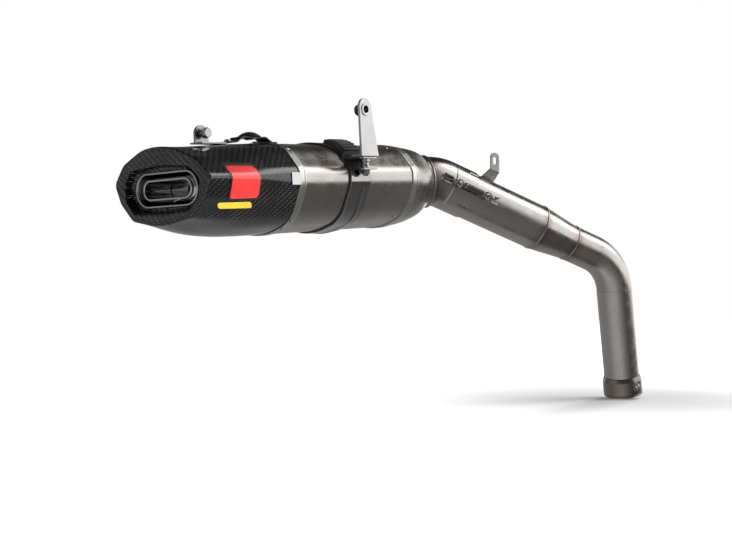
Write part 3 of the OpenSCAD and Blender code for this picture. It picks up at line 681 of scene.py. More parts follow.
cad_steel = metal("inner_steel", steel_dark, titan_dark, 0.35, 900, kind="Object")
weld_metal = "weld_bead", metal(
    "weld_titanium", (0.46, 0.40, 0.36), (0.26, 0.22, 0.21), 0.3, 900, wear=0.6, bump=0.00012)
spring_metal = "spring_steel", metal(
    "spring_steel", (0.42, 0.41, 0.40), (0.32, 0.31, 0.30), 0.22, 1200)
black_metal = "black_steel", metal(
    "black_zinc", (0.09, 0.09, 0.09), (0.05, 0.05, 0.05), 0.32, 1200)
carbon = "carbon_fibre", carbon_finish()
rubber = "black_rubber", coated(
    "black_rubber", (0.022, 0.022, 0.022), (0.012, 0.012, 0.012), 0.48, bump=0.00008)
sheath = "black_rubber", coated(
    "spring_sheath", (0.03, 0.028, 0.027), (0.015, 0.014, 0.014), 0.3, grain=1200)
red = "red_enamel", coated(
    "red_enamel", (0.86, 0.035, 0.03), (0.80, 0.028, 0.025), 0.32, coat=0.6, grain=1800,
    bump=0.00001)
yellow = "yellow_enamel", coated(
    "yellow_enamel", (0.83, 0.62, 0.03), (0.76, 0.54, 0.02), 0.32, coat=0.6, grain=1800,
    bump=0.00001)
black = "black_steel", coated(
    "black_film", (0.006, 0.006, 0.007), (0.004, 0.004, 0.005), 0.4, coat=1.0, grain=1800,
    bump=0.00001)
fibre = fibre_finish()
insert_metal = "bare_steel", lip_metal[1]
bolt_metal = "bare_steel", spring_metal[1]


# ---- silencer shell ----
def section_rows(profile, shape_at, notch=None):
    """Rows of an outline along a profile of (station, grow)."""
    rows = []
    for station, grow in profile:
        row = [Vector((station, p.x, p.y)) for p in shape_at(grow)]
        if notch:
            row = [notch(p) for p in row]
        rows.append(row)
    return rows


def sleeve_at(grow):
    return measured(sleeve_corners(grow))


def sleeve_piece():
    steps = 24
    length = sleeve_front - sleeve_rear
    outside = [(sleeve_rear + 0.4 + (length - 0.8) * i / steps, 0) for i in range(steps + 1)]
    inside = [(x, -sleeve_wall) for x, _ in reversed(outside)]
    profile = (outside + [(sleeve_front, -0.35), (sleeve_front, -0.65)] + inside
               + [(sleeve_rear, -0.65), (sleeve_rear, -0.35)])
    shape = Shape().grid(section_rows(profile, sleeve_at), along=True)
    piece("sleeve", shape, SILENCER, "silencer", sleeve_metal, "outer_sleeve")


def side_notch(edge, depth, half, direction):
    """Moves an edge in by a V at the middle of both sides."""
    mid = 6.5

    def move(p):
        if abs(p.y) < sleeve_half_w * 0.9 or (p.x - edge) * direction < -0.6:
            return p
        cut = depth * max(0.0, 1 - abs(p.z - mid) / half)
        return Vector((p.x - direction * cut, p.y, p.z))

    return move


def band_profile(rear, front, low, high):
    """Section of a trim band: rolled edges and a raised hem by each of them."""
    return rounded([(rear + 2, low), (rear + 0.2, low), (rear, high - 0.3), (rear + 0.7, high),
                    (rear + 1.9, high), (rear + 2.3, high - 0.45), (front - 3.1, high - 0.45),
                    (front - 2.7, high), (front - 0.8, high), (front, high - 0.35),
                    (front - 0.2, low), (rear + 2, low)], 0.3, 2)


def band_pieces():
    rear_edge = sleeve_rear + 1
    rear = rear_edge - band_w - 1
    shape = Shape().grid(section_rows(
        band_profile(rear, rear_edge, 0.3, 1.3), sleeve_at,
        side_notch(rear_edge, 3.6, 5.0, 1)), along=True)
    tab_l, tab_low, tab_high = 13, -1, 12.5
    outer = [(rear - tab_l, tab_low), (rear + 1.5, tab_low), (rear + 1.5, tab_high),
             (rear - tab_l, tab_high)]
    tab = plate([outer], 0.7, 0.2)
    for side in (-1, 1):
        inner = side * (sleeve_half_w + 0.6)
        shape.add(tab, shift(0, inner + (0.7 if side > 0 else 0), 0) @ turned(90, "X"))
    piece("rear_trim_band", shape, SILENCER, "silencer", band_metal, "rear_band")
    shape = Shape().grid(section_rows(
        band_profile(sleeve_front - 2, sleeve_front + band_w, 0.05, 1.3), sleeve_at,
        side_notch(sleeve_front + band_w, 3.6, 5.0, 1)), along=True)
    piece("front_trim_band", shape, SILENCER, "silencer", band_metal,
          "front_band")


def face_x(y, depth):
    return face_station + 6 * (y / 75) ** 2 + depth


def face_row(ring, depth):
    return [Vector((face_x(p.x, depth), p.x, p.y)) for p in ring]


def cap_row(front, rim, depth, t):
    row = []
    for a, b in zip(front, rim):
        tuck = t ** 4 if b.y < 0 else smooth(t)
        y, z = lerp(a.x, b.x, smooth(t)), lerp(a.y, b.y, tuck)
        row.append(Vector((lerp(cap_front, face_x(y, depth), t), y, z)))
    return row


def end_cap_piece():
    front, rim = sampled(sleeve_corners()), sampled(face_corners())
    steps = 30
    shape = Shape()
    side = [cap_row(front, rim, 2, i / steps) for i in range(steps + 1)]
    edge = 2.0
    for i in range(1, 6):
        a = pi / 2 * i / 5
        side.append(face_row(sampled(face_corners(-edge * (1 - cos(a)))),
                             edge * (1 - sin(a))))
    shape.grid(side)

    def flat_uv(i, j, p):
        return (p.y * MM, p.z * MM)

    rim_in, recess = sampled(face_corners(-edge)), sampled(recess_corners())
    face = [face_row([lerp(a, b, t) for a, b in zip(rim_in, recess)], 2 * t ** 3)
            for t in (i / 8 for i in range(9))]
    face[0] = side[-1]
    shape.grid(face, uv=flat_uv)
    duct = sampled(stadium_corners(outlet_w - 1.2, outlet_h - 1.2))
    dish = [face[-1]]
    for grow, depth in ((-0.25, 2.2), (-0.55, 2.9), (-0.8, 4.5), (-1.1, 7), (-1.5, 9.5),
                        (-2.3, 11.6), (-4, 12.9), (-6, 13.4)):
        dish.append(face_row(sampled(recess_corners(grow)), depth))
    low = sampled(recess_corners(-6))
    for t, depth in ((0.5, 14.4), (0.9, 15.4), (0.97, 15.8), (1.0, 16.5)):
        dish.append(face_row([lerp(a, b, t) for a, b in zip(low, duct)], depth))
    dish.append(face_row(duct, duct_ledge + cap_wall))
    shape.grid(dish, uv=flat_uv)
    back = [dish[-1], face_row(sampled(recess_corners(1.5)), recess_depth + cap_wall),
            face_row(sampled(face_corners(-cap_wall - 1)), 2 + cap_wall)]
    inner_front, inner_rim = sampled(sleeve_corners(-cap_wall)), sampled(face_corners(-cap_wall))
    back += [cap_row(inner_front, inner_rim, 2 + cap_wall, 1 - i / 8) for i in range(9)]
    back.append(side[0])
    shape.grid(back)
    piece("carbon_end_cap", shape, SILENCER, "silencer", carbon, "end_cap",
          sharp=40)


def dome_piece():
    steps = 28
    inside = inlet_od / 2 + 0.25
    along = (SILENCER.to_3x3().inverted() @ stub_dir).normalized()
    left = UP.cross(along).normalized()
    rise = along.cross(left)

    def ring(inset, t):
        start = sampled(sleeve_corners(-inset))
        shrink = min(1, t / 0.92) ** 2.4
        r = inside + 1.2 - inset
        row = []
        for i, p in enumerate(start):
            a = spread(i)
            neck = Vector((neck_station, 0, neck_rise)) + (left * cos(a)
                                                           + rise * sin(a)) * r
            x = lerp(sleeve_front + 0.05, neck.x, t)
            rim = neck - along * (neck.x - x) * shrink ** 4 / along.x
            row.append(Vector((x, lerp(p.x, rim.y, shrink), lerp(p.y, rim.z, shrink))))
        return row

    rows = [ring(0, i / steps) for i in range(steps + 1)]
    rows += [ring(1.2, 1 - i / steps) for i in range(steps + 1)]
    piece("front_dome", Shape().grid(rows, along=True), SILENCER, "silencer", dome_metal,
          "front_cap")


def on_sleeve(station, degrees, grow=0.0):
    """Frame on the sleeve's surface at an angle round the axis, +Z outwards."""
    points = outline(sleeve_corners(grow))
    a, step = radians(degrees), 0.02
    here = reach(points, a) * Vector((cos(a), sin(a)))
    ahead = reach(points, a + step) * Vector((cos(a + step), sin(a + step)))
    run = (ahead - here).normalized()
    out = Vector((0, run.y, -run.x))
    x = Vector((1, 0, 0))
    turn = Matrix((x, out.cross(x), out)).transposed().to_4x4()
    return shift(station, here.x, here.y) @ turn


def rivet_shape(d=7.0):
    """A domed rivet head with the dimple of its broken stem."""
    r, h = d / 2, d * 0.17
    profile = [(0.05, h * 0.35), (r * 0.22, h * 0.35), (r * 0.3, h * 0.98)]
    for i in range(1, 9):
        a = pi / 2 * i / 8
        profile.append((r * (0.3 + 0.7 * sin(a)), h * cos(a) * 0.95 + 0.08))
    return turned_solid(profile + [(r, 0.02), (0.05, 0.02)], 32)


def rivet_pieces():
    head = rivet_shape()
    shape = Shape()
    for angle in (40, 90, 140, 222, 238, 302, 318):
        shape.add(head, on_sleeve(sleeve_rear - 5, angle, 1.3))
    piece("cap_rivet_heads", shape, SILENCER, "silencer", steel, "cap_rivets")
    shape = Shape()
    for angle in (50, 130, 225, 315):
        shape.add(head, on_sleeve(sleeve_front - 12, angle))
    piece("front_rivet_heads", shape, SILENCER, "silencer", steel, "front_rivets")


def cap_point(front, rim, degrees, t, out):
    a = radians(degrees)
    direction = Vector((cos(a), sin(a)))
    p, q = reach(front, a) * direction, reach(rim, a) * direction
    tuck = t ** 4 if q.y < 0 else smooth(t)
    y, z = lerp(p.x, q.x, smooth(t)), lerp(p.y, q.y, tuck)
    return Vector((lerp(cap_front, face_x(y, 2), t), y - out, z))


def side_plate(t, angle, out, thickness, corner):
    """A thin plate that follows the right side wall, with rounded corners and a soft edge."""
    front, rim = outline(sleeve_corners()), outline(face_corners())
    slant, nt, na = 0.04, 20, 20
    size_t = (t[1] - t[0]) * (cap_front - face_station)
    size_a = radians(angle[1] - angle[0]) * sleeve_half_w

    def layer(inset, height):
        rows = []
        for i in range(nt + 1):
            x = (i / nt - 0.5) * (size_t - 2 * inset)
            over = max(0.0, abs(x) - (size_t / 2 - inset - corner))
            pull = corner - sqrt(max(0.0, corner ** 2 - over ** 2))
            row = []
            for j in range(na + 1):
                y = (j / na - 0.5) * (size_a - 2 * inset - 2 * pull)
                s, b = x / size_t + 0.5, y / size_a + 0.5
                row.append(cap_point(front, rim, lerp(angle[0], angle[1], b),
                                     lerp(t[0], t[1], s) + slant * (0.5 - b), height))
            rows.append(row)
        return rows

    def loop(rows):
        return (rows[0] + [row[-1] for row in rows[1:-1]] + rows[-1][::-1]
                + [row[0] for row in rows[-2:0:-1]])

    top, under = layer(0.25, out + thickness), layer(0, out)
    mid = layer(0, out + thickness - 0.15)
    shape = Shape().grid(top, around=False)
    shape.grid([loop(top), loop(mid), loop(under)])
    return shape.grid(under, around=False)


def badge_pieces():
    t0, t1 = 0.507, 0.796
    lay = (SILENCER, "silencer")
    piece("badge_field", side_plate((t0 - 0.018, t1 + 0.014), (159.5, 194), 0.3, 0.3, 3.0), *lay,
          black, "badge_base")
    piece("badge_panel", side_plate((t0, t1), (163, 192.5), 0.75, 0.4, 4.0), *lay,
          red, "badge_plate")
    piece("badge_bar", side_plate((t0 + 0.01, t1 + 0.045), (196, 202.5), 0.3, 0.4, 1.5), *lay,
          yellow, "badge_strip")


# ---- outlet ----
def mouth_rows(profile, w, h, n=144):
    """Rows round a wide mouth: profile is (station, how much the mouth grows on each side)."""
    rows = []
    for station, grow in profile:
        ring = measured(stadium_corners(w + 2 * grow, h + 2 * grow), n)
        rows.append([Vector((station, p.x, p.y)) for p in ring])
    return rows


def outlet_pieces():
    rear, wall = outlet_face, 1.5
    lip = rounded([(rear + 12, -1.1), (rear + 2.6, -1.1), (rear + 1.9, 0), (rear + 0.6, 0),
                   (rear, -0.6), (rear, -1.9), (rear + 0.7, -2.6), (rear + 2.2, -2.6),
                   (rear + 12, -2.6)], 0.5, 3)
    profile = lip + [(rear + duct_depth, -1.1 - wall), (rear + duct_depth, -1.1)]
    shape = Shape().grid(mouth_rows(profile, outlet_w, outlet_h), along=True)
    piece("outlet_lip", shape, SILENCER, "silencer", lip_metal, "outlet_duct")

    # The insert flares from its mouth out to the duct's wall, and then runs back to its carrier
    rear += 1
    gap = 0.3
    fit_w = (outlet_w - 2.2 - 3 - 2 * gap - insert_w) / 2
    fit_h = (outlet_h - 2.2 - 3 - 2 * gap - insert_h) / 2
    rows = []
    throat = rounded([(rear + 36, -1.5), (rear + 3, -1.5), (rear + 0.6, -1.5), (rear, -0.9),
                      (rear, 0.7), (rear + 0.7, 1.5), (rear + 2.2, 1.3)], 0.5, 3)
    dish = [(rear + 3.2 + 9 * s ** 1.6,
             1.3 + (fit_h - 1.3) * s) for s in (i / 10 for i in range(11))]
    tail = [(rear + 15, fit_h), (rear + 15.4, fit_h - 0.8), (rear + 13.5, fit_h - 1.2),
            (rear + 6, 0.4), (rear + 8, 0), (rear + 36, 0)]
    for station, grow in throat + dish + tail:
        wide = grow * (fit_w / fit_h) if grow > 1.3 else grow
        if grow > 1.3:
            wide = 1.3 + (grow - 1.3) * (fit_w - 1.3) / (fit_h - 1.3)
        ring = measured(stadium_corners(insert_w + 2 * wide, insert_h + 2 * grow), 144)
        rows.append([Vector((station, p.x, p.y)) for p in ring])
    shape = Shape().grid(rows, along=True)
    carrier_x = outlet_face + duct_depth - 14
    outer = [(p.x, p.y) for p in measured(stadium_corners(
        outlet_w - 5.2 - 2 * gap, outlet_h - 5.2 - 2 * gap), 120)]
    carrier = plate([outer, circle(0, outlet_z, insert_h / 2 - 1.5, 48, True),
                     circle(-41, outlet_z, 2.1, 24, True)], 2, 0.3)
    lay = Matrix(((0, 0, 1, carrier_x), (1, 0, 0, 0), (0, 1, 0, 0), (0, 0, 0, 1)))
    shape.add(carrier, lay)
    for low, high in ((-0.62, -0.28),):
        path = []
        for i in range(15):
            s = lerp(low, high, i / 14)
            path.append(Vector((rear + 0.9, -insert_w / 2 * s * -1 * 0.9,
                                outlet_z - insert_h / 2 - 1.2 - 2.2 * (i / 14) ** 2)))
        shape.add(wire(path, 0.8, 10))
    piece("noise_insert_mouth", shape, SILENCER, "insert", insert_metal,
          "noise_insert")
    tube = turned_ring(tube_profile(insert_h + 1, 1.2, 0, 62), 72)
    lay = SILENCER @ shift(carrier_x + 2.05, 0, outlet_z) @ turned(90, "Y")
    piece("noise_insert_tube", tube, lay, "insert", insert_metal, "insert_tube")
    screw = thread(4, 0.5, 9, 0.7).add(turned_solid(
        [(0.05, -1.2), (1.2, -1.2), (1.4, -2.9), (2.4, -2.95), (3, -2.3), (3, -0.05), (0.05,
                                                                                       -0.05)]))
    lay = SILENCER @ shift(carrier_x - 0.05, -41, outlet_z) @ turned(90, "Y")
    piece("insert_screw_detail", screw, lay, "insert", steel, "insert_screw")


# ---- brackets on top of the cap ----
def rear_bracket_pieces():
    t = 2.5
    upright = [(-10, 0.5), (10, 0.5), (10, 11)]
    upright += [(10 * cos(a), 11 + 10 * sin(a))
                for a in (pi * i / 24 for i in range(1, 24))] + [(-10, 11)]
    shape = plate([upright, circle(0, 12, 3.3, 28, True)], t, 0.5).moved(
        shift(0, 1 + t, 0) @ turned(90, "X"))
    base = [(-15, -9), (-12, -12), (23, -12), (26, -9), (26, 0.5), (23, 1 + t), (-15, 1 + t)]
    shape.add(plate([base], 2, 0.4))
    lay = SILENCER @ shift(-163, 0, bracket_z)
    piece("rear_mount_bracket", shape, lay, "silencer", dark_steel, "rear_bracket")
    lay = lay @ shift(0, 0, 12) @ turned(90, "X")
    bolt = thread(6, -9, 3.6).add(hex_solid(10, 4.5), shift(0, 0, 5))
    bolt.add(washer(6, 3.05, 1.4, 3.6))
    piece("rear_mount_bolt", bolt, lay, "silencer", bolt_metal,
          "rear_bracket_bolt")
    nut = hex_solid(10, 5, 0.7, 3.05)
    piece("rear_mount_nut", nut, lay @ shift(0, 0, -8.55), "silencer", steel,
          "rear_bracket_nut")


def seat_bridge_pieces():
    rear, front, rise, t = -131, -56, 7, 1.6
    legs = (rear + 12, front - 10)
    top = rounded([(rear, t), (legs[0] - 0.9, t), (legs[0] + 7.1, rise), (legs[1] - 7.1, rise),
                   (legs[1] + 0.9, t), (front, t)], 2.2, 5)
    under = rounded([(front, 0), (legs[1], 0), (legs[1] - 8, rise - t), (legs[0] + 8, rise - t),
                     (legs[0], 0), (rear, 0)], 1.4, 5)
    rows = []
    for y, inset in ((-9, 0.35), (-8.65, 0), (-4, 0), (4, 0), (8.65, 0), (9, 0.35)):
        row = [Vector((p.x, y, p.y - inset)) for p in top]
        rows.append(row + [Vector((p.x, y, p.y + inset)) for p in under])
    lay = SILENCER @ shift(0, 0, top_z)
    piece("seat_support_bridge", Shape().grid(rows, caps=True), lay, "silencer", black_metal,
          "seat_bridge")
    screw = turned_solid([(0.05, 1.3), (1.6, 1.3), (1.8, 2.7), (2.4, 2.75), (3.4, 2.3),
                          (4, 1.2), (4, 0.05), (0.05, 0.05)], 40)
    shape = Shape()
    for x in (rear + 5, front - 5):
        shape.add(screw, shift(x, 0, t - 0.35))
    piece("seat_bridge_screws", shape, lay, "silencer", steel, "bridge_rivets")
    dome_r, dome_h = 13.5, 5.8
    ball = (dome_r ** 2 + dome_h ** 2) / (2 * dome_h)
    profile = [(0.05, -3), (4.95, -3), (4.95, 0.1), (dome_r - 0.5, 0.1), (dome_r, 0.6)]
    for i in range(16):
        r = (dome_r - 0.1) * (1 - i / 15)
        profile.append((max(r, 0.05), max(0.9, dome_h - ball + sqrt(ball ** 2 - r ** 2))))
    piece("seat_rubber", turned_solid(profile, 64), lay @ shift((rear + front) / 2 + 1, 0, rise),
          "silencer", rubber, "bridge_grommet")


# ---- clamp ----
EAR_LOW, EAR_HIGH, EAR_T = 14.0, 26.5, 2.0
EAR_Y, BOLT_Y = -86.0, -78.0


def open_ring(grow, n=230):
    """The sleeve's outline without the stretch between the clamp's ears."""
    ring = measured(sleeve_corners(grow), 720)
    gone = [i for i, p in enumerate(ring) if p.x < 0 and EAR_LOW + EAR_T < p.y < EAR_HIGH]
    start, stop = (gone[-1] + 1) / 720, (gone[0] - 1) / 720 + 1
    return measured(sleeve_corners(grow), n, start, stop)


def clamp_pieces():
    half = clamp_w / 2
    low, high = 1.45, 2.5

    def with_bead(profile):
        rows = []
        for station, grow in profile:
            row = []
            for p in open_ring(grow):
                bead = 0.0
                if grow > 2:
                    lift = smooth((-5 - p.y) / 6)
                    bead = 1.4 * lift * exp(-((station - 5) / 1.7) ** 2)
                out = Vector((p.x, p.y)).normalized() * bead
                row.append(Vector((station, p.x + out.x, p.y + out.y)))
            rows.append(row)
        return rows

    steps = 44
    outside = [(-half + 0.5 + (clamp_w - 1) * i / steps, high) for i in range(steps + 1)]
    profile = ([(-half, low + 0.3)] + [(-half, high - 0.45)] + outside
               + [(half, high - 0.45), (half, low + 0.3), (half - 0.3, low), (-half + 0.3, low)])
    shape = Shape().grid(with_bead(profile), around=False, along=True, caps=True)
    inner = -(sleeve_half_w + low - 1.4)
    corner = 4.0
    x = half - 3
    ear = [(x, inner)] + [(x - corner + corner * cos(a), EAR_Y + corner - corner * sin(a))
                          for a in (pi / 2 * i / 6 for i in range(7))]
    ear += [(-x + corner - corner * sin(a), EAR_Y + corner - corner * cos(a))
            for a in (pi / 2 * i / 6 for i in range(7))]
    ear.append((-x, inner))
    ear = ear[::-1]
    hole = circle(0, BOLT_Y, 3.3, 28, True)
    shape.add(plate([ear, hole], EAR_T, 0.3), shift(0, 0, EAR_LOW))
    deep = [(px, py if py < inner - 0.1 else inner + 8.5) for px, py in ear]
    shape.add(plate([deep, hole], EAR_T, 0.3), shift(0, 0, EAR_HIGH))
    piece("clamp_strap", shape, CLAMP, "clamp", clamp_metal, "clamp_band")

    edge = half + 1.5
    section = [(-edge + 0.2, 0.4), (-edge, 0.85), (-edge + 0.25, 1.3), (-half + 0.2, 1.4),
               (0, 1.4), (half - 0.2, 1.4), (edge - 0.25, 1.3), (edge, 0.85), (edge - 0.2, 0.4),
               (half, 0.3), (0, 0.3), (-half, 0.3)]
    shape = Shape().grid(section_rows(section, sleeve_at), along=True)
    piece("clamp_rubber", shape, CLAMP, "clamp", rubber, "clamp_lining")

    rows = []
    ribs, across = 7, 84
    base_ring, top_ring = outline(sleeve_corners(2.55)), outline(sleeve_corners(9.4))
    for station, drop in ((-15, 1.0), (-14.4, 0.3), (-13, 0), (0, 0), (13, 0), (14.4, 0.3),
                          (15, 1.0)):
        row = []
        for j in range(across + 1):
            a = radians(lerp(120.5, 149.5, j / across))
            wave = 0.5 + 0.5 * cos(tau * ribs * j / across)
            tall = 1 - 0.42 * (1 - wave ** 0.5)
            crest = min(reach(top_ring, a), 53 / sin(a))
            r = lerp(reach(base_ring, a), crest, tall) - drop
            row.append(Vector((station, r * cos(a), r * sin(a))))
        for j in range(across + 1):
            a = radians(lerp(149.5, 120.5, j / across))
            r = reach(base_ring, a)
            row.append(Vector((station, r * cos(a), r * sin(a))))
        rows.append(row)
    piece("clamp_ribbed_pad", Shape().grid(rows, caps=True), CLAMP, "clamp", rubber, "clamp_pad",
          sharp=50)

    at_bolt = CLAMP @ shift(0, BOLT_Y, 0)
    head = EAR_HIGH + EAR_T + 3.6
    shank = thread(6, EAR_LOW - 7, head - 0.2)
    cap = [(0.05, 1.2), (2.2, 1.2), (2.3, 3.3), (4.6, 3.45), (5.2, 3.0), (5.5, 2.2), (5.5, 0.3),
           (5.2, 0), (0.05, 0)]
    shank.add(turned_solid(cap), shift(0, 0, head))
    piece("clamp_screw", shank, at_bolt, "clamp", steel, "clamp_bolt")
    nut = hex_solid(10, 5, 0.7, 3.05)
    piece("clamp_lock_nut", nut, at_bolt @ shift(0, 0, EAR_LOW - 5.05), "clamp", steel, "clamp_nut")
    h = EAR_HIGH - EAR_LOW - EAR_T - 0.1
    collar = rounded([(3.1, h / 2), (3.1, 0), (5.4, 0), (5.5, h * 0.3), (4.6, h * 0.36),
                      (4.6, h * 0.64), (5.5, h * 0.7), (5.4, h), (3.1, h), (3.1, h / 2)], 0.5, 2)
    piece("clamp_bolt_spacer", turned_ring(collar, 48), at_bolt @ shift(0, 0,
                                                                        EAR_LOW + EAR_T + 0.05),
          "clamp", steel, "clamp_spacer")


# ---- hanger ----
def hanger_pieces():
    foot_z = EAR_HIGH + EAR_T + 0.3
    height, plate_y, t, eye_x = 66, -89, 3, -7.5
    eye_z = height - 13
    base = (-18.5, 12.5)
    loop = hull([(base[0], 0.4), (base[1], 0.4)] + circle(eye_x, height - 10.5, 10.5, 72))
    shape = plate([loop, circle(eye_x, eye_z, 6, 48, True)], t, 0.45).moved(
        shift(0, plate_y + t, 0) @ turned(90, "X"))
    foot = [(-16, plate_y + 0.4), (12, plate_y + 0.4), (12, -72), (9, -69), (-13, -69), (-16, -72)]
    shape.add(plate([foot, circle(0, BOLT_Y, 3.05, 28, True)], t, 0.4))
    lay = CLAMP @ shift(0, 0, foot_z)
    piece("hanger_plate", shape, lay, "hanger", pale_steel, "hanger_bracket")
    at_eye = lay @ shift(eye_x, plate_y - 1, eye_z) @ turned(-90, "X")
    bush = rounded([(4.1, 2.5), (4.1, 0.3), (4.7, 0), (7.0, 0), (7.25, 0.5), (6.8, 0.95),
                    (5.95, 0.95), (5.95, 4.8), (4.2, 5), (4.1, 2.5)], 0.25, 2)
    piece("hanger_eye_bush", turned_ring(bush, 64), at_eye, "hanger", steel,
          "hanger_bush")
    nut = hex_solid(12, 8, 0.9, 3.4)
    nut.add(washer(8, 3.45, 1.5))
    piece("hanger_cap_nut", nut, at_eye @ shift(0, 0, 5.05), "hanger", black_metal, "hanger_nut")


# ---- slip joint and pipes ----
def bend_rows(corner, dir_in, dir_out, radius, r, steps=30):
    """Circles of radius r round a bend that leads from one direction to another."""
    turn = acos(dir_in.dot(dir_out))
    out = (dir_out - dir_in).normalized()
    centre = corner + out * radius * MM / cos(turn / 2)
    start = (corner - dir_in * radius * MM * tan(turn / 2) - centre).normalized()
    axis = dir_in.cross(dir_out).normalized()
    ahead = axis.cross(start)
    rows = []
    for i in range(steps + 1):
        a = turn * i / steps
        away = cos(a) * start + sin(a) * ahead
        middle = centre + away * radius * MM
        rows.append([(middle + (cos(b) * away + sin(b) * axis) * r * MM) / MM
                     for b in (tau * j / 96 for j in range(96))])
    return rows


def bend_shape(corner, dir_in, dir_out, radius, od, wall, v0):
    """A bent tube, in millimetres of the row frame."""
    outer = bend_rows(corner, dir_in, dir_out, radius, od / 2)
    inner = bend_rows(corner, dir_in, dir_out, radius, od / 2 - wall)
    return Shape().grid(outer + inner[::-1], along=True, v0=v0)


def straight(od, wall, low, high, v0):
    return closed(lathe(tube_profile(od, wall, low, high), 96), v0)


def bead_shape(r, low, high, height, pitch=2.3, n=420):
    """A weld bead round a tube: overlapping scales between two stations."""
    rows = []
    mid, half = (low + high) / 2, (high - low) / 2
    for i in range(9):
        s = -1 + 2 * i / 8
        row = []
        for j in range(n):
            a = tau * j / n
            phase = (a * r / pitch + 0.32 * s * s) % 1
            scale = 0.72 + 0.28 * (1 - phase) ** 0.7
            rise = height * sqrt(max(0.0, 1 - s * s)) * scale
            row.append(Vector(((r + rise) * cos(a), (r + rise) * sin(a), mid + half * s)))
        rows.append(row)
    rows += [[Vector((p.x * (r - 0.3) / r, p.y * (r - 0.3) / r, p.z)) for p in row]
             for row in (rows[-1], rows[0])]
    return Shape().grid(rows, along=True)


def inlet_pieces():
    wall = (inlet_od - upper_od) / 2 - 0.05
    run = inlet_bend_r * tan(acos(stub_dir.dot(link_dir)) / 2)
    stub_end = (upper_corner - neck_pos).length / MM - run
    piece("inlet_stub", straight(inlet_od, wall, -6, stub_end, -16), NECK, "silencer",
          inlet_metal, "neck_tube")
    shape = bend_shape(upper_corner, stub_dir, link_dir, inlet_bend_r, inlet_od, wall, 0.0)
    to_row = Matrix.Scale(MM, 4)
    piece("inlet_elbow", shape, to_row, "silencer", inlet_metal, "inlet_bend")
    ring = rounded([(inlet_od / 2 + 0.1, 2), (inlet_od / 2 + 0.1, 0.3), (inlet_od / 2 + 2.2, 0.3),
                    (inlet_od / 2 + 2.5, 1.8), (inlet_od / 2 + 1.2, 3.9), (inlet_od / 2 + 0.1, 4),
                    (inlet_od / 2 + 0.1, 2)], 0.6, 3)
    piece("neck_collar", turned_ring(ring, 96), NECK, "silencer", dome_metal,
          "neck_ring")

    # Slotted end of the socket: columns start and stop at the slots' edges
    slot_w, slot_l = 1.8, 14.0
    r = inlet_od / 2
    half = slot_w / 2 / r
    columns = []
    for k in range(4):
        centre = radians(45 + 90 * k)
        columns += [centre - half, centre + half]
        columns += [centre + half + (pi / 2 - 2 * half) * i / 22 for i in range(1, 22)]
    low, high = run - joint_run, 0.0
    stations = [low, low + 2, (low - slot_l) / 2, -slot_l] + [-slot_l + 2 * i for i in range(1, 7)]
    stations += [high - 0.35, high]
    stations = sorted(s for s in stations if low <= s <= high)
    shape = Shape()
    for i in range(len(stations) - 1):
        for j, a in enumerate(columns):
            if j % 23 == 0 and stations[i] >= -slot_l - 0.01:
                continue
            b = columns[(j + 1) % len(columns)]
            base = len(shape.verts)
            for s, angle in ((stations[i], a), (stations[i], b), (stations[i + 1], b),
                             (stations[i + 1], a)):
                shape.verts.append(Vector((r * cos(angle), r * sin(angle), s)))
            shape.faces.append([base, base + 1, base + 2, base + 3])
            turn = b - a if b > a else b - a + tau
            u = (r * a * MM, r * (a + turn) * MM)
            v = ((stations[i] - low + 28) * MM, (stations[i + 1] - low + 28) * MM)
            shape.uvs.append([(u[0], v[0]), (u[1], v[0]), (u[1], v[1]), (u[0], v[1])])
    obj = piece("slip_socket_sleeve", shape, JOINT, "silencer", inlet_metal,
                "slip_socket")
    thick = obj.modifiers.new("wall", "SOLIDIFY")
    thick.thickness = wall * MM
    thick.offset = -1
    obj.modifiers.move(1, 0)


def hook_shape(root_r, root, station, strap_at, strap_l, away):
    """One spring hook in the joint's frame, on +X: a holed plate and the strap that braces it."""
    loop = hull([(root_r, root[0]), (root_r, root[1]), (root_r + 1, root[0]), (root_r + 1, root[1])]
                + circle(spring_radius, station, 5.5, 48))
    shape = plate([loop, circle(spring_radius, station, 3.2, 32, True)], 2.5, 0.4).moved(
        shift(0, 1.25, 0) @ turned(90, "X"))
    w, t = 12 / 2, 2
    outer = [(-strap_l, w)] + arc(0, 0, w, 90, -90, 20) + [(-strap_l, -w)]
    inner = [(-strap_l, -w + t)] + arc(0, 0, w - t, -90, 90, 20) + [(-strap_l, w - t)]
    bent = plate([(outer + inner)[::-1]], 6.4, 0.4)
    lay = Matrix(((0, 0, 1, root_r), (0, 1, 0, 0), (away, 0, 0, strap_at), (0, 0, 0, 1)))
    return shape.add(bent, lay)


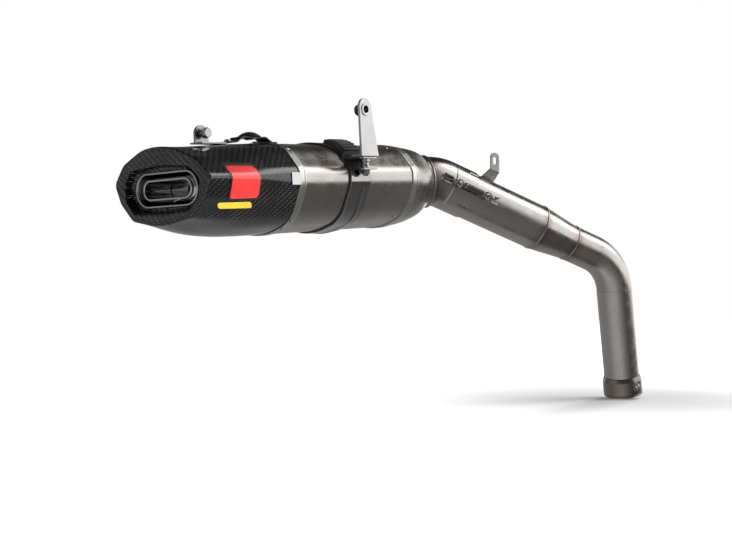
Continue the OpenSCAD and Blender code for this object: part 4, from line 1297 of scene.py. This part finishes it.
def joint_hardware():
    inlet_hook = hook_shape(inlet_od / 2 + 0.05, (hook_back - 18, hook_back + 2), hook_back,
                            hook_back - 10, 9, 1)
    link_hook = hook_shape(upper_od / 2 + 0.05, (hook_front - 6, hook_front + 10), hook_front,
                           hook_front + 9, 6, -1)
    for name, hook, body, node in (("silencer_spring_hooks", inlet_hook, "silencer", "inlet_hooks"),
                                   ("pipe_spring_hooks", link_hook, "link_pipe", "link_hooks")):
        shape = Shape().add(hook).add(hook, turned(180, "Z"))
        piece(name, shape, JOINT, body, pale_steel, node)

    loop_r, gauge = 6.0, 1.2
    ring_r = loop_r - gauge
    for name, body, node, turn in (("right_return_spring", "right_spring", "near_spring", 180),
                                   ("left_return_spring", "left_spring", "far_spring", 0)):
        spring = Shape()
        first, last = loop_r - 2.2, spring_length - loop_r + 2.2
        for z in (first, last):
            ring = [Vector((0, ring_r * cos(a), z + ring_r * sin(a)))
                    for a in (tau * i / 48 for i in range(48))]
            spring.add(wire(ring, gauge * 0.92, loop=True))
        low, high = first + ring_r + 1.2, last - ring_r - 1.2
        coil_r, pitch = 2.9, 2.05
        turns = (high - low) / pitch
        steps = int(turns * 18)
        coil = [Vector((coil_r * cos(tau * turns * i / steps),
                        coil_r * sin(tau * turns * i / steps),
                        lerp(low, high, i / steps))) for i in range(steps + 1)]
        spring.add(wire(coil, 1.0, 10))
        for z, sign in ((low, -1), (high, 1)):
            path = [Vector((coil_r * (1 - s), 0, z + sign * s * 2.4)) for s in (0, 0.3, 0.6,
                                                                                0.85, 1)]
            spring.add(wire(path, 0.95, 10))
        lay = JOINT @ turned(turn, "Z") @ shift(spring_radius, 0, hook_back)
        piece(name, spring, lay, body, spring_metal, node)
        cover = rounded([(3.2, 12), (3.2, low + 4), (4.0, low + 4.2), (4.0, high - 4.2),
                         (3.2, high - 4), (3.2, 12)], 0.3, 2)
        piece(name + "_sheath", turned_ring(cover, 40), lay, body, sheath)


def link_pieces():
    body = "link_pipe"
    piece("link_upper_tube", straight(upper_od, tube_wall, -insertion, seam_1, -insertion), JOINT,
          body, link_metal, "link_tube")
    h = seam_2 - seam_1
    steps = 16
    outer = [(lerp(upper_od, lower_od, smooth(i / steps) * 0.35 + 0.65 * i / steps) / 2,
              seam_1 + h * i / steps) for i in range(steps + 1)]
    profile = outer + [(r - tube_wall, z) for r, z in reversed(outer)]
    piece("link_reducer", Shape().grid(lathe(profile, 96), along=True, v0=seam_1), JOINT, body,
          link_metal, "reducer")
    to_corner = (lower_corner - joint_pos).length / MM
    run = lower_bend_r * tan(acos(link_dir.dot(down_dir)) / 2)
    piece("link_middle_tube", straight(lower_od, tube_wall, seam_2, to_corner - run, seam_2), JOINT,
          body, link_metal, "middle_tube")
    shape = bend_shape(lower_corner, link_dir, down_dir, lower_bend_r, lower_od, tube_wall,
                       to_corner - run)
    piece("link_lower_elbow", shape, Matrix.Scale(MM, 4), body, link_metal, "lower_bend")
    top = (lower_corner - socket_pos).length / MM - run
    piece("link_lower_tube", straight(lower_od, tube_wall, -top, -collar_h, to_corner + 32), FOOT,
          body, link_metal, "lower_tube")
    welds = bead_shape(upper_od / 2, seam_1 - 1.6, seam_1 + 1.6, 0.75)
    welds.add(bead_shape(lower_od / 2, seam_2 - 1.5, seam_2 + 1.5, 0.75))
    piece("link_weld_beads", welds, JOINT, body, weld_metal, "link_welds")

    r, q = collar_od / 2, lower_od / 2
    bore = lower_od / 2 + 0.2
    section = rounded([(q - tube_wall, -collar_h + 3), (q - tube_wall, -collar_h), (q + 0.5,
                                                                                    -collar_h),
                       (r, -collar_h + 6), (r, -3.2), (r - 0.5, -2.8), (r - 0.5, -2.2),
                       (r, -1.8), (r, 0), (bore, 0), (bore, -socket_depth),
                       (q - tube_wall, -socket_depth), (q - tube_wall, -collar_h + 3)], 0.5, 3)
    piece("socket_end", Shape().grid(lathe(section, 120), along=True), FOOT, body, shaded_collar_metal,
          "socket_collar")
    lug = plate([hull([(r - 0.3, -24), (r - 0.3, -8)] + circle(r + 7, -18, 4.5, 40)),
                 circle(r + 7, -18, 2.5, 28, True)], 2.5, 0.4).moved(
        shift(0, 1.25, 0) @ turned(90, "X"))
    shape = Shape()
    for turn in (35, 215):
        shape.add(lug, turned(turn, "Z"))
    piece("socket_spring_lugs", shape, FOOT, body, pale_steel, "socket_lugs")


def link_bracket_piece():
    """A bent sheet: the lower leg leans out from the pipe's top and the upper leg is upright."""
    at, out, bend, tall, w, t = 24, 12, 44.5, 24.4, 13.5, 2.5
    left = UP.cross(link_dir).normalized()
    middle = joint_pos + (link_dir * at - left * out + link_dir.cross(left) * bend) * MM
    drop = w / 2 * link_dir.z / hypot(link_dir.x, link_dir.y)
    top = tall - w / 2
    loop = [(-w / 2, -drop - 0.6), (w / 2, drop - 0.6), (w / 2, top)]
    loop += [(w / 2 * cos(a), top + w / 2 * sin(a))
             for a in (pi * i / 24 for i in range(1, 24))] + [(-w / 2, top)]
    hole = [(2.75 * cos(a), 16 + 2.75 * sin(a)) for a in
            (pi * i / 12 for i in range(13))]
    hole += [(2.75 * cos(a), 11 + 2.75 * sin(a)) for a in
             (pi + pi * i / 12 for i in range(13))]
    upper = plate([loop, hole[::-1]], t, 0.45)
    shape = Shape().add(upper, stand(middle, -left))
    lower = Shape()
    r = upper_od / 2
    foot = [(-1.5, r + 0.02), (1.5, r + 0.02)]
    head = [(-out - t + 0.1, bend - 0.2), (-out - 0.1, bend + 0.4)]
    rows = []
    for s in range(9):
        k = s / 8
        a0, a1 = lerp(Vector(foot[0]), Vector(head[0]), k), lerp(Vector(foot[1]),
                                                                 Vector(head[1]), k)
        z0, z1 = lerp(-11, -7.1, k), lerp(9.6, 7.1, k)
        e = 0.4
        rows.append([Vector((a0.x, a0.y, z0 + e)), Vector((a0.x + e, a0.y, z0)),
                     Vector((a1.x - e, a1.y, z0)), Vector((a1.x, a1.y, z0 + e)),
                     Vector((a1.x, a1.y, z1 - e)), Vector((a1.x - e, a1.y, z1)),
                     Vector((a0.x + e, a0.y, z1)), Vector((a0.x, a0.y, z1 - e))])
    lower.grid(rows, caps=True)
    shape.add(lower, JOINT @ shift(0, 0, at))
    piece("link_stay", shape, Matrix(), "link_pipe", pale_steel, "link_bracket")


def inner_pieces():
    """Pieces inside the silencer keep their CAD shape."""
    finishes = {"rear_baffle": cad_steel, "front_baffle": cad_steel, "core_tube": cad_steel,
                "packing": fibre}
    for name, finish in finishes.items():
        obj = nodes[name]
        obj.data.materials.clear()
        obj.data.materials.append(finish)
        bevel = obj.modifiers.new("edges", "BEVEL")
        bevel.width = 0.3 * MM
        bevel.limit_method = "ANGLE"


# ---- stage, camera and light ----
def stage():
    mesh = bpy.data.meshes.new("floor")
    size, ground = 6.0, cad_box[0][2] - 0.0004
    mesh.from_pydata([(x, y, ground) for x, y in ((-size, -size), (size, -size), (size, size),
                                                  (-size, size))], [], [(0, 1, 2, 3)])
    floor = bpy.data.objects.new("floor", mesh)
    scene.collection.objects.link(floor)
    f = Finish("floor_paper_painted_shadow", Roughness=0.9, Specular_IOR_Level=0.0, Emission_Color=(1, 1, 1, 1))
    tone = f.noise(3, 2, kind="Object")
    away = f.node("VectorMath", out=1, Vector=f.place(kind="Object"), operation="LENGTH")
    # The floor glows white, but dimmer within 0.62 m of the origin by the pipe's foot: a painted shadow there.
    mesh.materials.append(f.finish(
        Base_Color=f.ramp(tone, (0.0, 0.93), (1.0, 0.97)),
        Emission_Strength=f.span(away, 0.03, 0.62, 0.05, 1.05)))
    floor.visible_glossy = False


def camera():
    yaw, pitch, focal_px = radians(39), radians(1.3), 1150
    data = bpy.data.cameras.new("camera")
    data.sensor_width = 36
    data.lens = focal_px / 732 * data.sensor_width
    view = bpy.data.objects.new("camera", data)
    scene.collection.objects.link(view)
    forward = Vector((cos(yaw) * cos(pitch), sin(yaw) * cos(pitch),
                      sin(pitch)))
    view.location = silencer_pos + Vector((-1010.9, -908.4, -134.3)) * MM
    view.rotation_mode = "QUATERNION"
    view.rotation_quaternion = forward.to_track_quat("-Z", "Y")
    scene.camera = view


def light():
    """A white room to the camera. To the metal, a soft box, a pale floor and a dark ceiling."""
    world = bpy.data.worlds.new("studio")
    scene.world = world
    world.use_nodes = True
    f = Finish("studio_nodes")
    f.tree = world.node_tree
    where = f.node("TexCoord", out=0)
    x = f.node("SeparateXYZ", out=0, Vector=where)
    y = f.node("SeparateXYZ", out=1, Vector=where)
    z = f.node("SeparateXYZ", out=2, Vector=where)
    rise = f.math("MULTIPLY", f.math("ARCSINE", z), 180 / pi)
    turn = f.math("MULTIPLY", f.math("ARCTAN2", y, x), 180 / pi)

    def window(value, low, high, soft):
        return f.math("MULTIPLY", f.span(value, low - soft, low + soft),
                      f.span(value, high - soft, high + soft, 1.0, 0.0))

    def box(side, height, soft_side, soft_height, strength):
        return f.math("MULTIPLY", strength, f.math(
            "MULTIPLY", window(turn, *side, soft_side), window(rise, *height, soft_height)))

    # Below the horizon a pale floor, in shade on the soft box's side; above it a dark room
    share = f.math("ADD", f.math("MULTIPLY", turn, 1 / 360), 0.5)
    tones = ((-180, 0.66), (-148, 0.68), (-113, 0.31), (-83, 0.11), (-39, 0.12), (30, 0.38),
             (135, 0.36), (180, 0.66))
    floor = f.ramp(share, *((az / 360 + 0.5, tone) for az, tone in tones))
    above = f.span(rise, -3, 1)
    room = f.math("MULTIPLY", above, f.span(rise, 5, 45, 0.13, 0.035))
    total = f.math("ADD", room, f.math("MULTIPLY", f.math("SUBTRACT", 1.0, above), floor))
    for panel in (box((-84, -20), (-3, 62), 5, 3, 1.6),       # soft box to the right
                  box((-54, -24), (26, 64), 7, 10, 2.2),      # its brighter upper half
                  box((-18, 34), (-5, 13), 5, 3, 1.6),        # bright paper behind
                  box((-18, 20), (13, 25), 5, 4, 0.8),
                  box((34, 95), (0, 14), 8, 3, 0.7),
                  box((120, 178), (0, 30), 14, 6, 0.4)):      # strip on the far left
        total = f.math("ADD", total, panel)
    seen = f.node("LightPath", out=0)
    strength = f.math("ADD", f.math("MULTIPLY", seen, 1.0),
                      f.math("MULTIPLY", f.math("SUBTRACT", 1.0, seen), total))
    background = world.node_tree.nodes["Background"]
    f.tree.links.new(strength, background.inputs["Strength"])
    background.inputs["Color"].default_value = (1, 1, 1, 1)
    target = Vector((-0.35, 0.06, 0.2))
    for name, place, size, power in (("top_light", (-0.6, -0.3, 2.2), 2.4, 8),
                                     ("front_light", (2.1, 0.3, 1.7), 0.5, 22)):
        data = bpy.data.lights.new(name, "AREA")
        data.size = size
        data.energy = power
        lamp = bpy.data.objects.new(name, data)
        lamp.location = place
        lamp.rotation_mode = "QUATERNION"
        lamp.rotation_quaternion = (target - lamp.location).to_track_quat("-Z", "Y")
        lamp.visible_glossy = False
        scene.collection.objects.link(lamp)
    scene.view_settings.view_transform = "Standard"


sleeve_piece()
band_pieces()
end_cap_piece()
dome_piece()
rivet_pieces()
badge_pieces()
outlet_pieces()
rear_bracket_pieces()
seat_bridge_pieces()
clamp_pieces()
hanger_pieces()
inlet_pieces()
joint_hardware()
link_pieces()
link_bracket_piece()
inner_pieces()
stage()
camera()
light()
